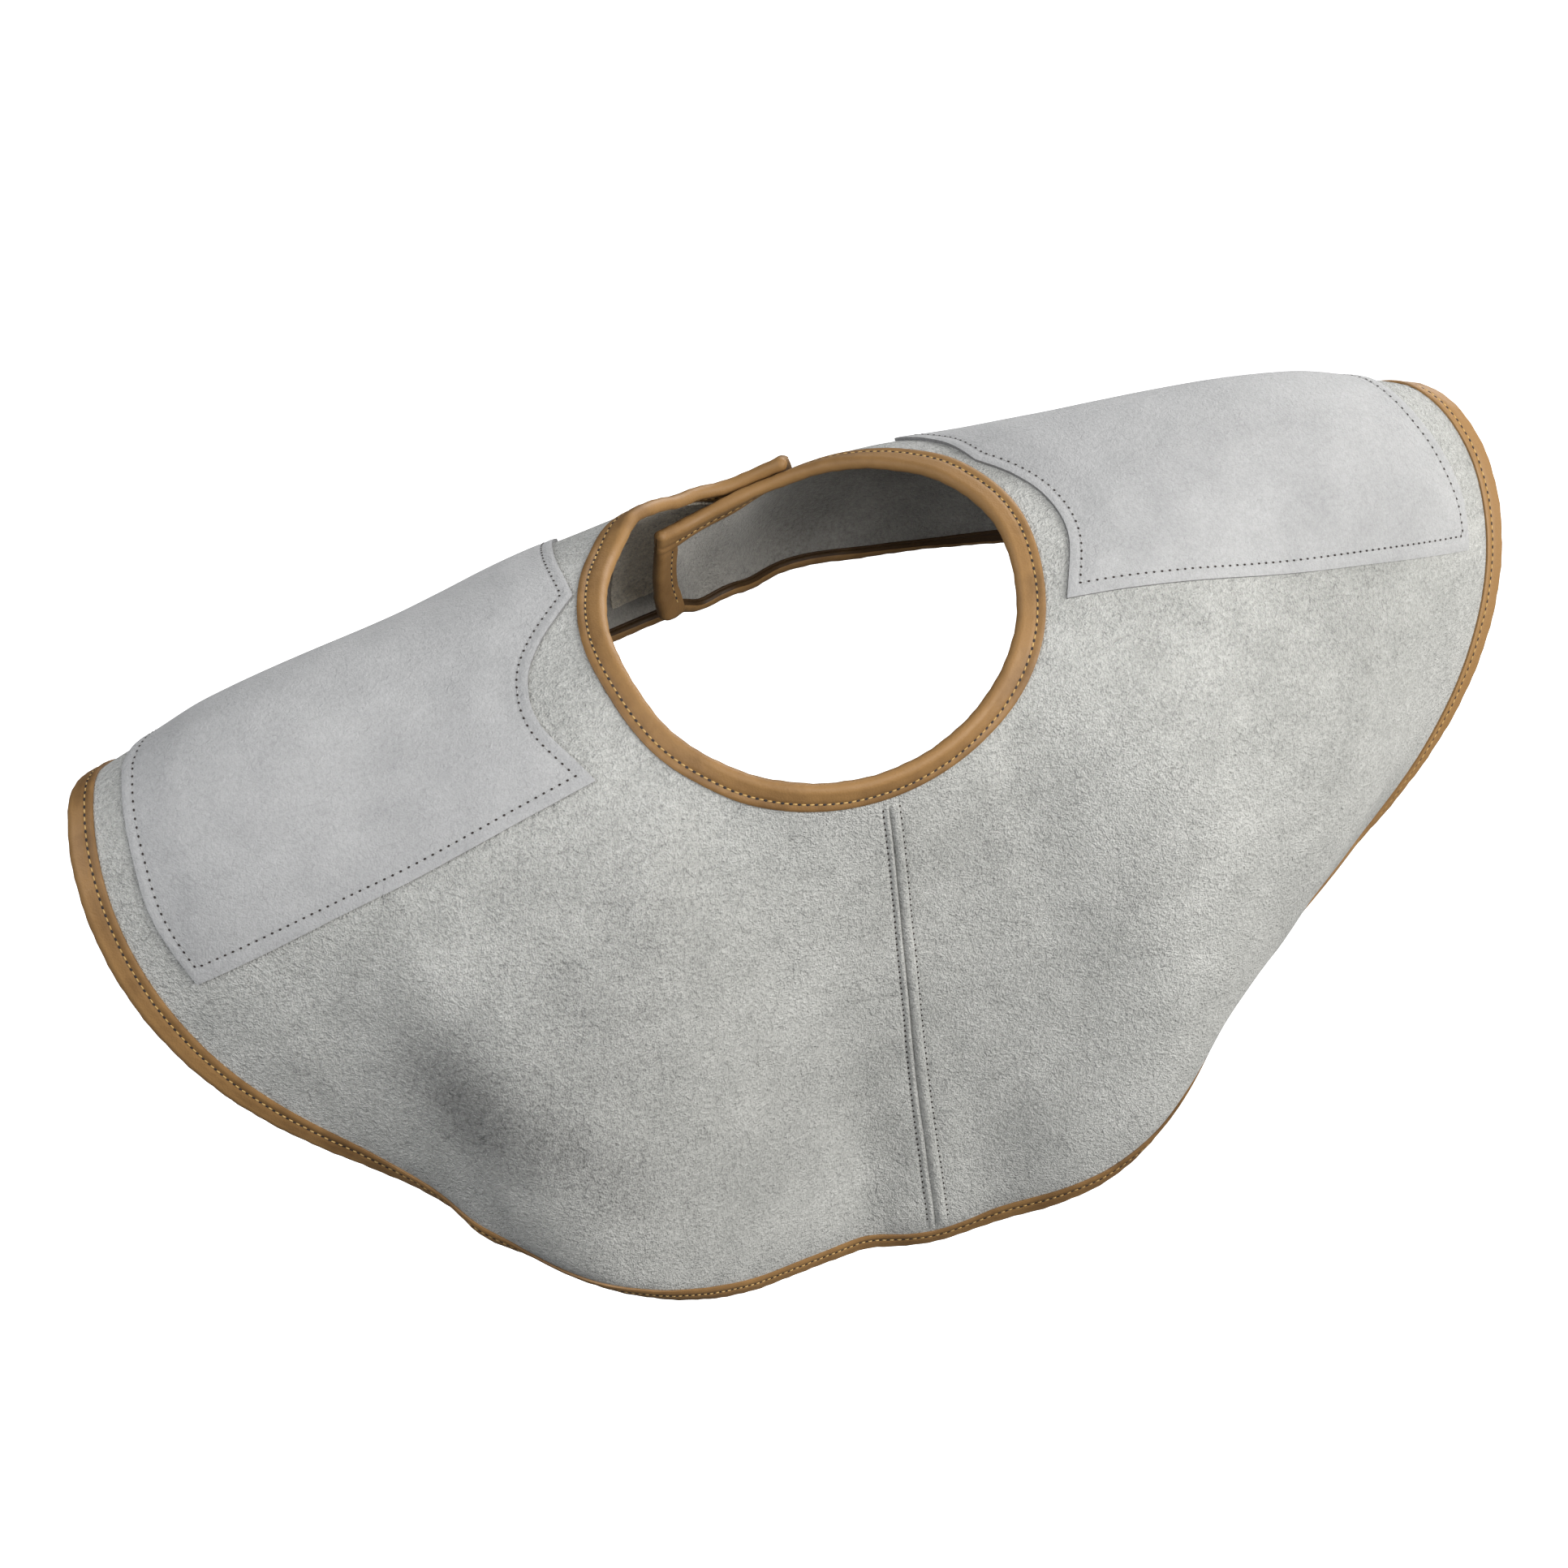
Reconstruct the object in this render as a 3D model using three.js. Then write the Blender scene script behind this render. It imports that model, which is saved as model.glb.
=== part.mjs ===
// Leather shoulder pad vest: a short suede cape that closes at the back, as it hangs on the shoulders.
// Millimetres, +Z up, front towards -Y, the picture's right hand side towards +X.
// The origin lies in the neck opening, on the line over the tops of the shoulders.
import * as THREE from 'three';

// Leather sheets
const PANEL_THICKNESS = 2;
const SEAM_GAP = 0.4;
const PANEL_ROWS = 13;

// The hem turns in at the front and at the back, in degrees over the last stretch of each rib
const HEM_CURL_REACH = 24;
const FRONT_CURL = 32;
const FRONT_CURL_FULL_ANGLE = 45;
const FRONT_CURL_END_ANGLE = 70;
const BACK_CURL = 45;
const BACK_CURL_START_ANGLE = 115;
const BACK_CURL_FULL_ANGLE = 145;

// Folded edge strips
const BINDING_THICKNESS = 1.2;
const BINDING_WIDTH = 7.5;
const BINDING_CLEARANCE = 0.3;
const BINDING_END_TURN = 3;
const END_STRIP_CLEARANCE = 0.7;
const END_STRIP_GAP = 1.5;

// Shoulder pads
const PAD_GAP = 0.9;
const PAD_EDGE_THICKNESS = 2;
const PAD_FILL = 1.6;
const PAD_FILL_REACH = 20;
const PAD_CELLS_ALONG = 16;
const PAD_CELLS_FRONT = 8;
const PAD_CELLS_BACK = 6;

// Back closure: each panel runs past the middle of the back, the left one outside
const LEFT_END_ANGLE = -208;
const RIGHT_END_ANGLE = 219;
const LAP_START_ANGLE = 126;
const LAP_FULL_ANGLE = 168;
const LAP_RISE = 6.5;
const TAPE_THICKNESS = 1.5;
const TAPE_GAP = 0.6;
const TAPE_CELLS = 6;
const HOOK_TAPE = { side: -1, from: -156, to: -197, inset: 9.5 };
const LOOP_TAPE = { side: 1, from: 170, to: 204, inset: 11 };

// The right end leaves the tab's form to hang lower and upright inside it; its rib grows shorter by the last size
const UPRIGHT_START_ANGLE = 168;
const UPRIGHT_SLOPE = 82;
const UPRIGHT_DROP = 7;
const UPRIGHT_SHORTER = 61;

// Angles where the sheets have a column, in degrees from the front: closer together over the shoulders
const COLUMN_STEPS = [
  { from: 0, to: 60, step: 6 },
  { from: 60, to: 120, step: 3 },
  { from: 120, to: 180, step: 6 },
];
const END_COLUMN_STEP = 7;

// Each rib starts at the neck edge and runs down to the hem in an upright plane through the origin.
// Slopes are degrees below level at the neck, half way along and at the hem.
const RIBS = [
  { angle: -160, neckRadius: 46, neckHeight: -17, length: 86, slopeNeck: 38, slopeMid: 75, slopeHem: 85 },
  { angle: -135, neckRadius: 49, neckHeight: -10, length: 104, slopeNeck: 10, slopeMid: 66, slopeHem: 86 },
  { angle: -110, neckRadius: 56, neckHeight: -2, length: 161, slopeNeck: -1, slopeMid: 40, slopeHem: 79 },
  { angle: -90, neckRadius: 65, neckHeight: 2, length: 193, slopeNeck: 1, slopeMid: 0, slopeHem: 25 },
  { angle: -65, neckRadius: 80, neckHeight: 0, length: 227, slopeNeck: 9, slopeMid: 38, slopeHem: 110 },
  { angle: -45, neckRadius: 90, neckHeight: -14, length: 224, slopeNeck: 28, slopeMid: 64, slopeHem: 95 },
  { angle: -25, neckRadius: 92, neckHeight: -27, length: 224, slopeNeck: 67, slopeMid: 85, slopeHem: 80 },
  { angle: 0, neckRadius: 92, neckHeight: -33, length: 229, slopeNeck: 83, slopeMid: 86, slopeHem: 76 },
  { angle: 25, neckRadius: 92, neckHeight: -27, length: 222, slopeNeck: 69, slopeMid: 77, slopeHem: 78 },
  { angle: 45, neckRadius: 90, neckHeight: -14, length: 218, slopeNeck: 17, slopeMid: 72, slopeHem: 106 },
  { angle: 65, neckRadius: 80, neckHeight: 0, length: 251, slopeNeck: 2, slopeMid: 48, slopeHem: 125 },
  { angle: 90, neckRadius: 65, neckHeight: 2, length: 199, slopeNeck: -5, slopeMid: 7, slopeHem: 33 },
  { angle: 110, neckRadius: 56, neckHeight: -2, length: 131, slopeNeck: -1, slopeMid: 54, slopeHem: 77 },
  { angle: 135, neckRadius: 49, neckHeight: -8, length: 90, slopeNeck: 18, slopeMid: 68, slopeHem: 85 },
  { angle: 160, neckRadius: 46, neckHeight: -16, length: 68, slopeNeck: 37, slopeMid: 70, slopeHem: 83 },
  { angle: 180, neckRadius: 44, neckHeight: -18, length: 60, slopeNeck: 60, slopeMid: 73, slopeHem: 81 },
];

// Soft dents and folds: the wall is pushed in by depth at the middle, and fades out over the two reaches.
const FOLDS = [
  { angle: -62, distance: 172, acrossAngle: 9, along: 42, depth: 9 },
  { angle: -45, distance: 165, acrossAngle: 8, along: 45, depth: -3 },
  { angle: -56, distance: 228, acrossAngle: 3, along: 12, depth: -4 },
  { angle: -30, distance: 185, acrossAngle: 9, along: 60, depth: -4 },
  { angle: -12, distance: 190, acrossAngle: 6, along: 50, depth: 3.5 },
  { angle: 2, distance: 185, acrossAngle: 6, along: 40, depth: -1.5 },
  { angle: 12, distance: 205, acrossAngle: 7, along: 45, depth: 3 },
  { angle: 32, distance: 190, acrossAngle: 9, along: 50, depth: -3 },
  { angle: -43, distance: 115, acrossAngle: 9, along: 40, depth: 2 },
  { angle: -36, distance: 36, acrossAngle: 4.5, along: 22, depth: 2.5 },
  { angle: -42, distance: 52, acrossAngle: 4, along: 20, depth: -1.5 },
];

// Pad outlines on the flat pattern, front to back: sideways and backward distance of the neck end and arm end.
// The front rows lead to the place where the neck end comes nearest, and the front edge bows out by the last size.
const LEFT_PAD = {
  front: [
    { neckSide: 95, neckBack: -67, armSide: 253, armBack: -59 },
    { neckSide: 104, neckBack: -46, armSide: 252, armBack: -42 },
    { neckSide: 102, neckBack: -29, armSide: 247, armBack: -26 },
    { neckSide: 92, neckBack: -15, armSide: 243, armBack: -13 },
    { neckSide: 75, neckBack: 0, armSide: 237, armBack: 2 },
  ],
  back: [
    { neckSide: 75, neckBack: 0, armSide: 237, armBack: 2 },
    { neckSide: 73, neckBack: 24, armSide: 216, armBack: 31 },
    { neckSide: 66, neckBack: 52, armSide: 184, armBack: 56 },
  ],
  bow: 6.5,
};
const RIGHT_PAD = {
  front: [
    { neckSide: 82, neckBack: -61, armSide: 268, armBack: -51 },
    { neckSide: 91, neckBack: -42, armSide: 262, armBack: -38 },
    { neckSide: 91, neckBack: -26, armSide: 252, armBack: -24 },
    { neckSide: 85, neckBack: -11, armSide: 243, armBack: -12 },
    { neckSide: 76, neckBack: 2, armSide: 234, armBack: 3 },
  ],
  back: [
    { neckSide: 76, neckBack: 2, armSide: 234, armBack: 3 },
    { neckSide: 71, neckBack: 20, armSide: 205, armBack: 31 },
    { neckSide: 62, neckBack: 40, armSide: 160, armBack: 52 },
  ],
  bow: 10,
};

const SUEDE = { color: 0xb3b5b6, roughness: 0.95, metalness: 0 };
const TAN_LEATHER = { color: 0xac7f49, roughness: 0.6, metalness: 0 };
const TAPE_CLOTH = { color: 0x8d7757, roughness: 0.98, metalness: 0 };

const HALF = PANEL_THICKNESS / 2;
const BODY_MIDDLE = new THREE.Vector3(0, 0, -120);
const RIB_STEPS = 32;

/** Smooth step from 0 to 1. */
function ease(value) {
  const t = THREE.MathUtils.clamp(value, 0, 1);
  return t * t * (3 - 2 * t);
}

/** Angle brought into the range -180 to 180. */
function wrapAngle(angle) {
  return THREE.MathUtils.euclideanModulo(angle + 180, 360) - 180;
}

/** Row of the rib table, counted past either end of it with whole turns added. */
function ribRow(index) {
  const turns = Math.floor(index / RIBS.length);
  const row = RIBS[THREE.MathUtils.euclideanModulo(index, RIBS.length)];
  return { ...row, angle: row.angle + 360 * turns };
}

/** One column of the rib table at any angle, as a smooth curve through the rows. */
function ribValue(column, angle) {
  const wrapped = wrapAngle(angle);
  let k = -1;
  while (k + 1 < RIBS.length && RIBS[k + 1].angle <= wrapped) {
    k += 1;
  }
  const rows = [ribRow(k - 1), ribRow(k), ribRow(k + 1), ribRow(k + 2)];
  const span = rows[2].angle - rows[1].angle;
  const t = (wrapped - rows[1].angle) / span;
  const startSlope = (rows[2][column] - rows[0][column]) / (rows[2].angle - rows[0].angle);
  const endSlope = (rows[3][column] - rows[1][column]) / (rows[3].angle - rows[1].angle);
  const start = (2 * t ** 3 - 3 * t ** 2 + 1) * rows[1][column] + (t ** 3 - 2 * t ** 2 + t) * span * startSlope;
  const end = (3 * t ** 2 - 2 * t ** 3) * rows[2][column] + (t ** 3 - t ** 2) * span * endSlope;
  return start + end;
}

/** How far the wall is pushed in by the folds. */
function foldDepth(angle, distance) {
  let depth = 0;
  for (const fold of FOLDS) {
    const across = (wrapAngle(angle) - fold.angle) / fold.acrossAngle;
    const along = (distance - fold.distance) / fold.along;
    depth += fold.depth * Math.exp(-across * across - along * along);
  }
  return depth;
}

/** Degrees by which the hem turns in at an angle. */
function hemCurl(angle) {
  const around = Math.abs(wrapAngle(angle));
  const front = (FRONT_CURL_END_ANGLE - around) / (FRONT_CURL_END_ANGLE - FRONT_CURL_FULL_ANGLE);
  const back = (around - BACK_CURL_START_ANGLE) / (BACK_CURL_FULL_ANGLE - BACK_CURL_START_ANGLE);
  return FRONT_CURL * ease(front) + BACK_CURL * ease(back);
}

/** How upright the wall hangs towards the right end, from 0 to 1. */
function upright(angle) {
  return ease((angle - UPRIGHT_START_ANGLE) / (RIGHT_END_ANGLE - UPRIGHT_START_ANGLE));
}

/** Length of the wall from the neck edge to the hem. */
function wallLength(angle) {
  return ribValue('length', angle) - UPRIGHT_SHORTER * upright(angle);
}

/** Angle of a panel's end at the back; side is 1 for the right and -1 for the left. */
function endAngle(side) {
  return side < 0 ? LEFT_END_ANGLE : RIGHT_END_ANGLE;
}

/** Point in the middle of the leather wall, before the lap at the back is opened. */
function wallPoint(angle, distance) {
  const length = wallLength(angle);
  const slopes = ['slopeNeck', 'slopeMid', 'slopeHem'].map((column) => ribValue(column, angle));
  const curl = hemCurl(angle);
  let radius = ribValue('neckRadius', angle) - foldDepth(angle, distance);
  let height = ribValue('neckHeight', angle) - UPRIGHT_DROP * upright(angle);
  const step = distance / RIB_STEPS;
  for (let i = 0; i < RIB_STEPS; i += 1) {
    const along = (2 * step * (i + 0.5)) / length;
    const first = THREE.MathUtils.lerp(slopes[0], slopes[1], along);
    const second = THREE.MathUtils.lerp(slopes[1], slopes[2], along - 1);
    const turnedIn = curl * ease(1 - (length - step * (i + 0.5)) / HEM_CURL_REACH);
    const hanging = THREE.MathUtils.lerp(along < 1 ? first : second, UPRIGHT_SLOPE, upright(angle));
    const slope = THREE.MathUtils.degToRad(hanging + turnedIn);
    radius += step * Math.cos(slope);
    height -= step * Math.sin(slope);
  }
  const turn = THREE.MathUtils.degToRad(angle);
  return new THREE.Vector3(radius * Math.sin(turn), -radius * Math.cos(turn), height);
}

/** Directions of the wall at a point: round the neck, down the rib, and outward. */
function wallFrame(angle, distance) {
  const round = wallPoint(angle + 0.2, distance).sub(wallPoint(angle - 0.2, distance)).normalize();
  const down = wallPoint(angle, distance + 0.5).sub(wallPoint(angle, distance - 0.5)).normalize();
  const outward = new THREE.Vector3().crossVectors(down, round).normalize();
  return { round, down, outward };
}

/** How far the left tab stands off the right end at the back. */
function lapRise(angle) {
  return LAP_RISE * ease((-angle - LAP_START_ANGLE) / (LAP_FULL_ANGLE - LAP_START_ANGLE));
}

/** Point at an offset outward from the middle of the wall. */
function offsetPoint(angle, distance, offset) {
  const { outward } = wallFrame(angle, distance);
  return wallPoint(angle, distance).addScaledVector(outward, offset + lapRise(angle));
}

/** Six times the volume inside a closed geometry, negative when its faces point inward. */
function signedVolume(geometry) {
  const { position } = geometry.attributes;
  const corners = [new THREE.Vector3(), new THREE.Vector3(), new THREE.Vector3()];
  let sum = 0;
  for (let i = 0; i < geometry.index.count; i += 3) {
    corners.forEach((corner, n) => corner.fromBufferAttribute(position, geometry.index.getX(i + n)));
    sum += corners[0].dot(corners[1].clone().cross(corners[2]));
  }
  return sum;
}

/** Splits each four-cornered cell along the diagonal that bulges away from the middle of the body. */
function splitOutward(geometry) {
  const { index } = geometry;
  const corner = (n) => new THREE.Vector3().fromBufferAttribute(geometry.attributes.position, n).sub(BODY_MIDDLE);
  for (let i = 0; i < index.count; i += 6) {
    const [a, b, d, c] = [0, 1, 2, 4].map((n) => index.getX(i + n));
    if (corner(a).add(corner(c)).length() > corner(b).add(corner(d)).length()) {
      [a, b, c, a, c, d].forEach((n, k) => index.setX(i + k, n));
    }
  }
}

/** Flat block cut into cells and bent: place gives the point for each column, row and layer. */
function bentBlock(columns, rows, place) {
  const geometry = new THREE.BoxGeometry(1, 1, 1, columns, rows, 1);
  const { position } = geometry.attributes;
  for (let i = 0; i < position.count; i += 1) {
    const column = Math.round((position.getX(i) + 0.5) * columns);
    const row = Math.round((position.getY(i) + 0.5) * rows);
    const layer = Math.round(position.getZ(i) + 0.5);
    const point = place(column, row, layer);
    position.setXYZ(i, point.x, point.y, point.z);
  }
  splitOutward(geometry);
  if (signedVolume(geometry) < 0) {
    const { index } = geometry;
    for (let i = 0; i < index.count; i += 3) {
      const second = index.getX(i + 1);
      index.setX(i + 1, index.getX(i + 2));
      index.setX(i + 2, second);
    }
  }
  geometry.computeVertexNormals();
  return geometry;
}

/** Column angles of one half, from the front seam to the end at the back, all counted as positive. */
function columnAngles(side) {
  const angles = [0];
  for (const { from, to, step } of COLUMN_STEPS) {
    for (let angle = from + step; angle <= to; angle += step) {
      angles.push(angle);
    }
  }
  const last = angles.at(-1);
  const rest = Math.abs(endAngle(side)) - last;
  const cells = Math.round(rest / END_COLUMN_STEP);
  for (let i = 1; i <= cells; i += 1) {
    angles.push(last + (rest * i) / cells);
  }
  return angles;
}

/** Where an edge lies along a rib, and how the edge runs there: its direction, the way in from it, and the skew. */
function edgeFrame(edge, angle) {
  const start = (at) => (edge === 'neck' ? 0 : wallLength(at));
  const along = wallPoint(angle + 0.5, start(angle + 0.5)).sub(wallPoint(angle - 0.5, start(angle - 0.5)));
  along.normalize();
  const { down, outward } = wallFrame(angle, start(angle));
  const inward = edge === 'neck' ? 1 : -1;
  const skew = Math.sqrt(1 - along.dot(down) ** 2);
  const across = new THREE.Vector3().crossVectors(along, outward).normalize();
  across.multiplyScalar(inward * Math.sign(across.dot(down)));
  return { start: start(angle), inward, skew, across };
}

/** Distance along a rib for each row of a panel, with a row where each binding ends. */
function rowDistance(row, angle) {
  const length = wallLength(angle);
  if (row === 0 || row === PANEL_ROWS) {
    return row === 0 ? 0 : length;
  }
  const margin = BINDING_WIDTH + BINDING_CLEARANCE;
  const first = margin / edgeFrame('neck', angle).skew;
  const last = length - margin / edgeFrame('hem', angle).skew;
  return THREE.MathUtils.lerp(first, last, (row - 1) / (PANEL_ROWS - 2));
}

/** Half of the suede body; side is 1 for the right and -1 for the left. */
function panelGeometry(side) {
  const angles = columnAngles(side);
  const seamAngle = THREE.MathUtils.radToDeg(SEAM_GAP / 2 / ribValue('neckRadius', 0));
  angles[0] = seamAngle;
  return bentBlock(angles.length - 1, PANEL_ROWS, (column, row, layer) => {
    const angle = side * angles[column];
    return offsetPoint(angle, rowDistance(row, angle), layer === 1 ? HALF : -HALF);
  });
}

/** Points across a strip folded over an edge, as depth from the edge and side of the wall. */
function foldedSection(layer, legCells, clearance) {
  const reach = HALF + clearance + layer * BINDING_THICKNESS;
  const leg = Array.from({ length: legCells + 1 }, (_, i) => (BINDING_WIDTH * i) / legCells);
  return [
    ...leg.toReversed().map((depth) => ({ depth, height: -reach })),
    { depth: -reach, height: 0 },
    ...leg.map((depth) => ({ depth, height: reach })),
  ];
}

/** Strip folded over the neck edge or the hem, all the way round. */
function edgeBindingGeometry(edge) {
  const [left, right] = [-1, 1].map((side) => [...columnAngles(side), Math.abs(endAngle(side)) + BINDING_END_TURN]);
  const angles = [...left.slice(1).reverse().map((angle) => -angle), ...right];
  const section = [0, 1].map((layer) => foldedSection(layer, 1, BINDING_CLEARANCE));
  return bentBlock(angles.length - 1, section[0].length - 1, (column, row, layer) => {
    const angle = angles[column];
    const { depth, height } = section[layer][row];
    const { start, inward, skew, across } = edgeFrame(edge, angle);
    if (depth > 0) {
      return offsetPoint(angle, start + (inward * depth) / skew, height);
    }
    return offsetPoint(angle, start, height).addScaledVector(across, depth);
  });
}

/** Strip folded over the end of a panel at the back, between the neck and hem strips. */
function endBindingGeometry(side) {
  const cells = 8;
  const angle = endAngle(side);
  const margin = BINDING_WIDTH + END_STRIP_GAP;
  const inner = angle - side * THREE.MathUtils.radToDeg(BINDING_WIDTH / ribValue('neckRadius', angle));
  const first = margin / Math.min(edgeFrame('neck', angle).skew, edgeFrame('neck', inner).skew);
  const hemSkew = Math.min(edgeFrame('hem', angle).skew, edgeFrame('hem', inner).skew);
  const last = Math.min(wallLength(angle), wallLength(inner)) - margin / hemSkew;
  const section = [0, 1].map((layer) => foldedSection(layer, 2, END_STRIP_CLEARANCE));
  return bentBlock(cells, section[0].length - 1, (column, row, layer) => {
    const { depth, height } = section[layer][row];
    const distance = THREE.MathUtils.lerp(first, last, column / cells);
    const { round } = wallFrame(angle, distance);
    const radius = Math.hypot(wallPoint(angle, distance).x, wallPoint(angle, distance).y);
    if (depth > 0) {
      const back = THREE.MathUtils.radToDeg(depth / radius);
      return offsetPoint(angle - side * back, distance, height);
    }
    return offsetPoint(angle, distance, height).addScaledVector(round, -side * depth);
  });
}

/** Point of the pad's outline on the flat pattern, for fractions along and front to back. */
function padPattern(form, along, row) {
  const inFront = row <= PAD_CELLS_FRONT;
  const table = inFront ? form.front : form.back;
  const t = inFront ? row / PAD_CELLS_FRONT : (row - PAD_CELLS_FRONT) / PAD_CELLS_BACK;
  const neckEdge = new THREE.SplineCurve(table.map((r) => new THREE.Vector2(r.neckSide, r.neckBack)));
  const armEdge = new THREE.SplineCurve(table.map((r) => new THREE.Vector2(r.armSide, r.armBack)));
  const point = neckEdge.getPoint(t).lerp(armEdge.getPoint(t), along);
  if (inFront) {
    point.y -= form.bow * 4 * along * (1 - along) * (1 - t);
  }
  return point;
}

/** Lightly filled pad over one shoulder. */
function padGeometry(side, form) {
  const rows = PAD_CELLS_FRONT + PAD_CELLS_BACK;
  return bentBlock(PAD_CELLS_ALONG, rows, (column, row, layer) => {
    const along = column / PAD_CELLS_ALONG;
    const flat = padPattern(form, along, row);
    const angle = side * THREE.MathUtils.radToDeg(Math.atan2(flat.x, -flat.y));
    const distance = flat.length() - ribValue('neckRadius', angle);
    const fromSides = Math.min(along, 1 - along) * padPattern(form, 0, row).distanceTo(padPattern(form, 1, row));
    const fromFront = flat.distanceTo(padPattern(form, along, 0));
    const fromBack = flat.distanceTo(padPattern(form, along, rows));
    const fill = PAD_FILL * ease(Math.min(fromSides, fromFront, fromBack) / PAD_FILL_REACH);
    const bottom = HALF + PAD_GAP;
    return offsetPoint(angle, distance, layer === 1 ? bottom + PAD_EDGE_THICKNESS + fill : bottom);
  });
}

/** Tape strip at the closure; the hook one is inside the left tab, the loop one outside the right end. */
function tapeGeometry({ side, from, to, inset }) {
  return bentBlock(TAPE_CELLS, TAPE_CELLS, (column, row, layer) => {
    const angle = THREE.MathUtils.lerp(from, to, column / TAPE_CELLS);
    const distance = THREE.MathUtils.lerp(inset, wallLength(angle) - inset, row / TAPE_CELLS);
    const height = HALF + TAPE_GAP + layer * TAPE_THICKNESS;
    return offsetPoint(angle, distance, side * height);
  });
}

/** Named mesh with its own material. */
function piece(name, geometry, finish) {
  const mesh = new THREE.Mesh(geometry, new THREE.MeshStandardMaterial(finish));
  mesh.name = name;
  return mesh;
}

const vest = new THREE.Group();
vest.name = 'leather_shoulder_pad_vest';
vest.add(piece('left_panel', panelGeometry(-1), SUEDE));
vest.add(piece('right_panel', panelGeometry(1), SUEDE));
vest.add(piece('left_shoulder_pad', padGeometry(-1, LEFT_PAD), SUEDE));
vest.add(piece('right_shoulder_pad', padGeometry(1, RIGHT_PAD), SUEDE));
vest.add(piece('neck_binding', edgeBindingGeometry('neck'), TAN_LEATHER));
vest.add(piece('hem_binding', edgeBindingGeometry('hem'), TAN_LEATHER));
vest.add(piece('left_end_binding', endBindingGeometry(-1), TAN_LEATHER));
vest.add(piece('right_end_binding', endBindingGeometry(1), TAN_LEATHER));
vest.add(piece('hook_tape', tapeGeometry(HOOK_TAPE), TAPE_CLOTH));
vest.add(piece('loop_tape', tapeGeometry(LOOP_TAPE), TAPE_CLOTH));

export default vest;
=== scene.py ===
"""Looks of the shoulder vest.

A grey suede cape with padded patches, tan bound edges and a taped lap at the back.
"""

import logging
import math
from dataclasses import dataclass
from enum import Enum
from typing import Callable, NamedTuple, Sequence

import bmesh
import bpy
import numpy as np
from mathutils import Matrix, Vector


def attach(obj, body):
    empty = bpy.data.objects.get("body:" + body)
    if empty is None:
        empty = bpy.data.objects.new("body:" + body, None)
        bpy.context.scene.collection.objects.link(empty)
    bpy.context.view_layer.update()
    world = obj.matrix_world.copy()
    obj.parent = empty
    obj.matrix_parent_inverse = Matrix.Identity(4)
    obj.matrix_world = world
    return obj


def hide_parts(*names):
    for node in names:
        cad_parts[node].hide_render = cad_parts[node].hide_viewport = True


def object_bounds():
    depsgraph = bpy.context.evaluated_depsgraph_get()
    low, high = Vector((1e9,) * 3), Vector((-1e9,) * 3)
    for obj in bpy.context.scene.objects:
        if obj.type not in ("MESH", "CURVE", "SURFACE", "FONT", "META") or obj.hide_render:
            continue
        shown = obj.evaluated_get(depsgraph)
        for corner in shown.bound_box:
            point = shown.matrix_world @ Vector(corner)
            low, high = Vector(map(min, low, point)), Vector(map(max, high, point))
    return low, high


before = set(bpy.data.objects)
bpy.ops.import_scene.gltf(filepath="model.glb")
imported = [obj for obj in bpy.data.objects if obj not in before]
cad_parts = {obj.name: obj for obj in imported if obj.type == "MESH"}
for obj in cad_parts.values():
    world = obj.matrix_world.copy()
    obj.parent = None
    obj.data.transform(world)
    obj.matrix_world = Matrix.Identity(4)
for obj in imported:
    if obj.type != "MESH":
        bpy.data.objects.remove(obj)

CAD_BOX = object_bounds()
MM = 0.001
TINY = 1e-9
SHARP_ANGLE = math.radians(55.0)
WHITE = (1.0, 1.0, 1.0, 1.0)
LOG = logging.getLogger("vest")

Colour = tuple[float, float, float]
Place = Callable[[np.ndarray, np.ndarray, int], np.ndarray]
Row = tuple[np.ndarray, np.ndarray]
Materials = Sequence[bpy.types.Material]
Socket = bpy.types.NodeSocket
Value = float | Colour | Socket


class Side(Enum):
    """Half of the vest, as its sign along X."""

    LEFT = -1
    RIGHT = 1


class Edge(Enum):
    """Long edge that a folded strip covers."""

    NECK = "neck"
    HEM = "hem"


class Rib(NamedTuple):
    """Line from the neck edge down to the hem, in millimetres and in degrees below level."""

    angle: float
    neck_radius: float
    neck_height: float
    length: float
    slope_neck: float
    slope_mid: float
    slope_hem: float


class Fold(NamedTuple):
    """Soft dent: pushed in by depth at the middle, fading out over the two reaches."""

    angle: float
    distance: float
    across: float
    along: float
    depth: float


class PadRow(NamedTuple):
    """Line across a pad on the flat pattern, from its neck end to its arm end."""

    neck_side: float
    neck_back: float
    arm_side: float
    arm_back: float


class PadForm(NamedTuple):
    """Outline of a pad: rows to its widest place, rows on to the back, and the front's bow."""

    front: tuple[PadRow, ...]
    back: tuple[PadRow, ...]
    bow: float


class Welt(NamedTuple):
    """Round welt beside the front seam, and where the trough of its stitches lies."""

    height: float
    middle: float
    reach: float
    trough: float


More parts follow.
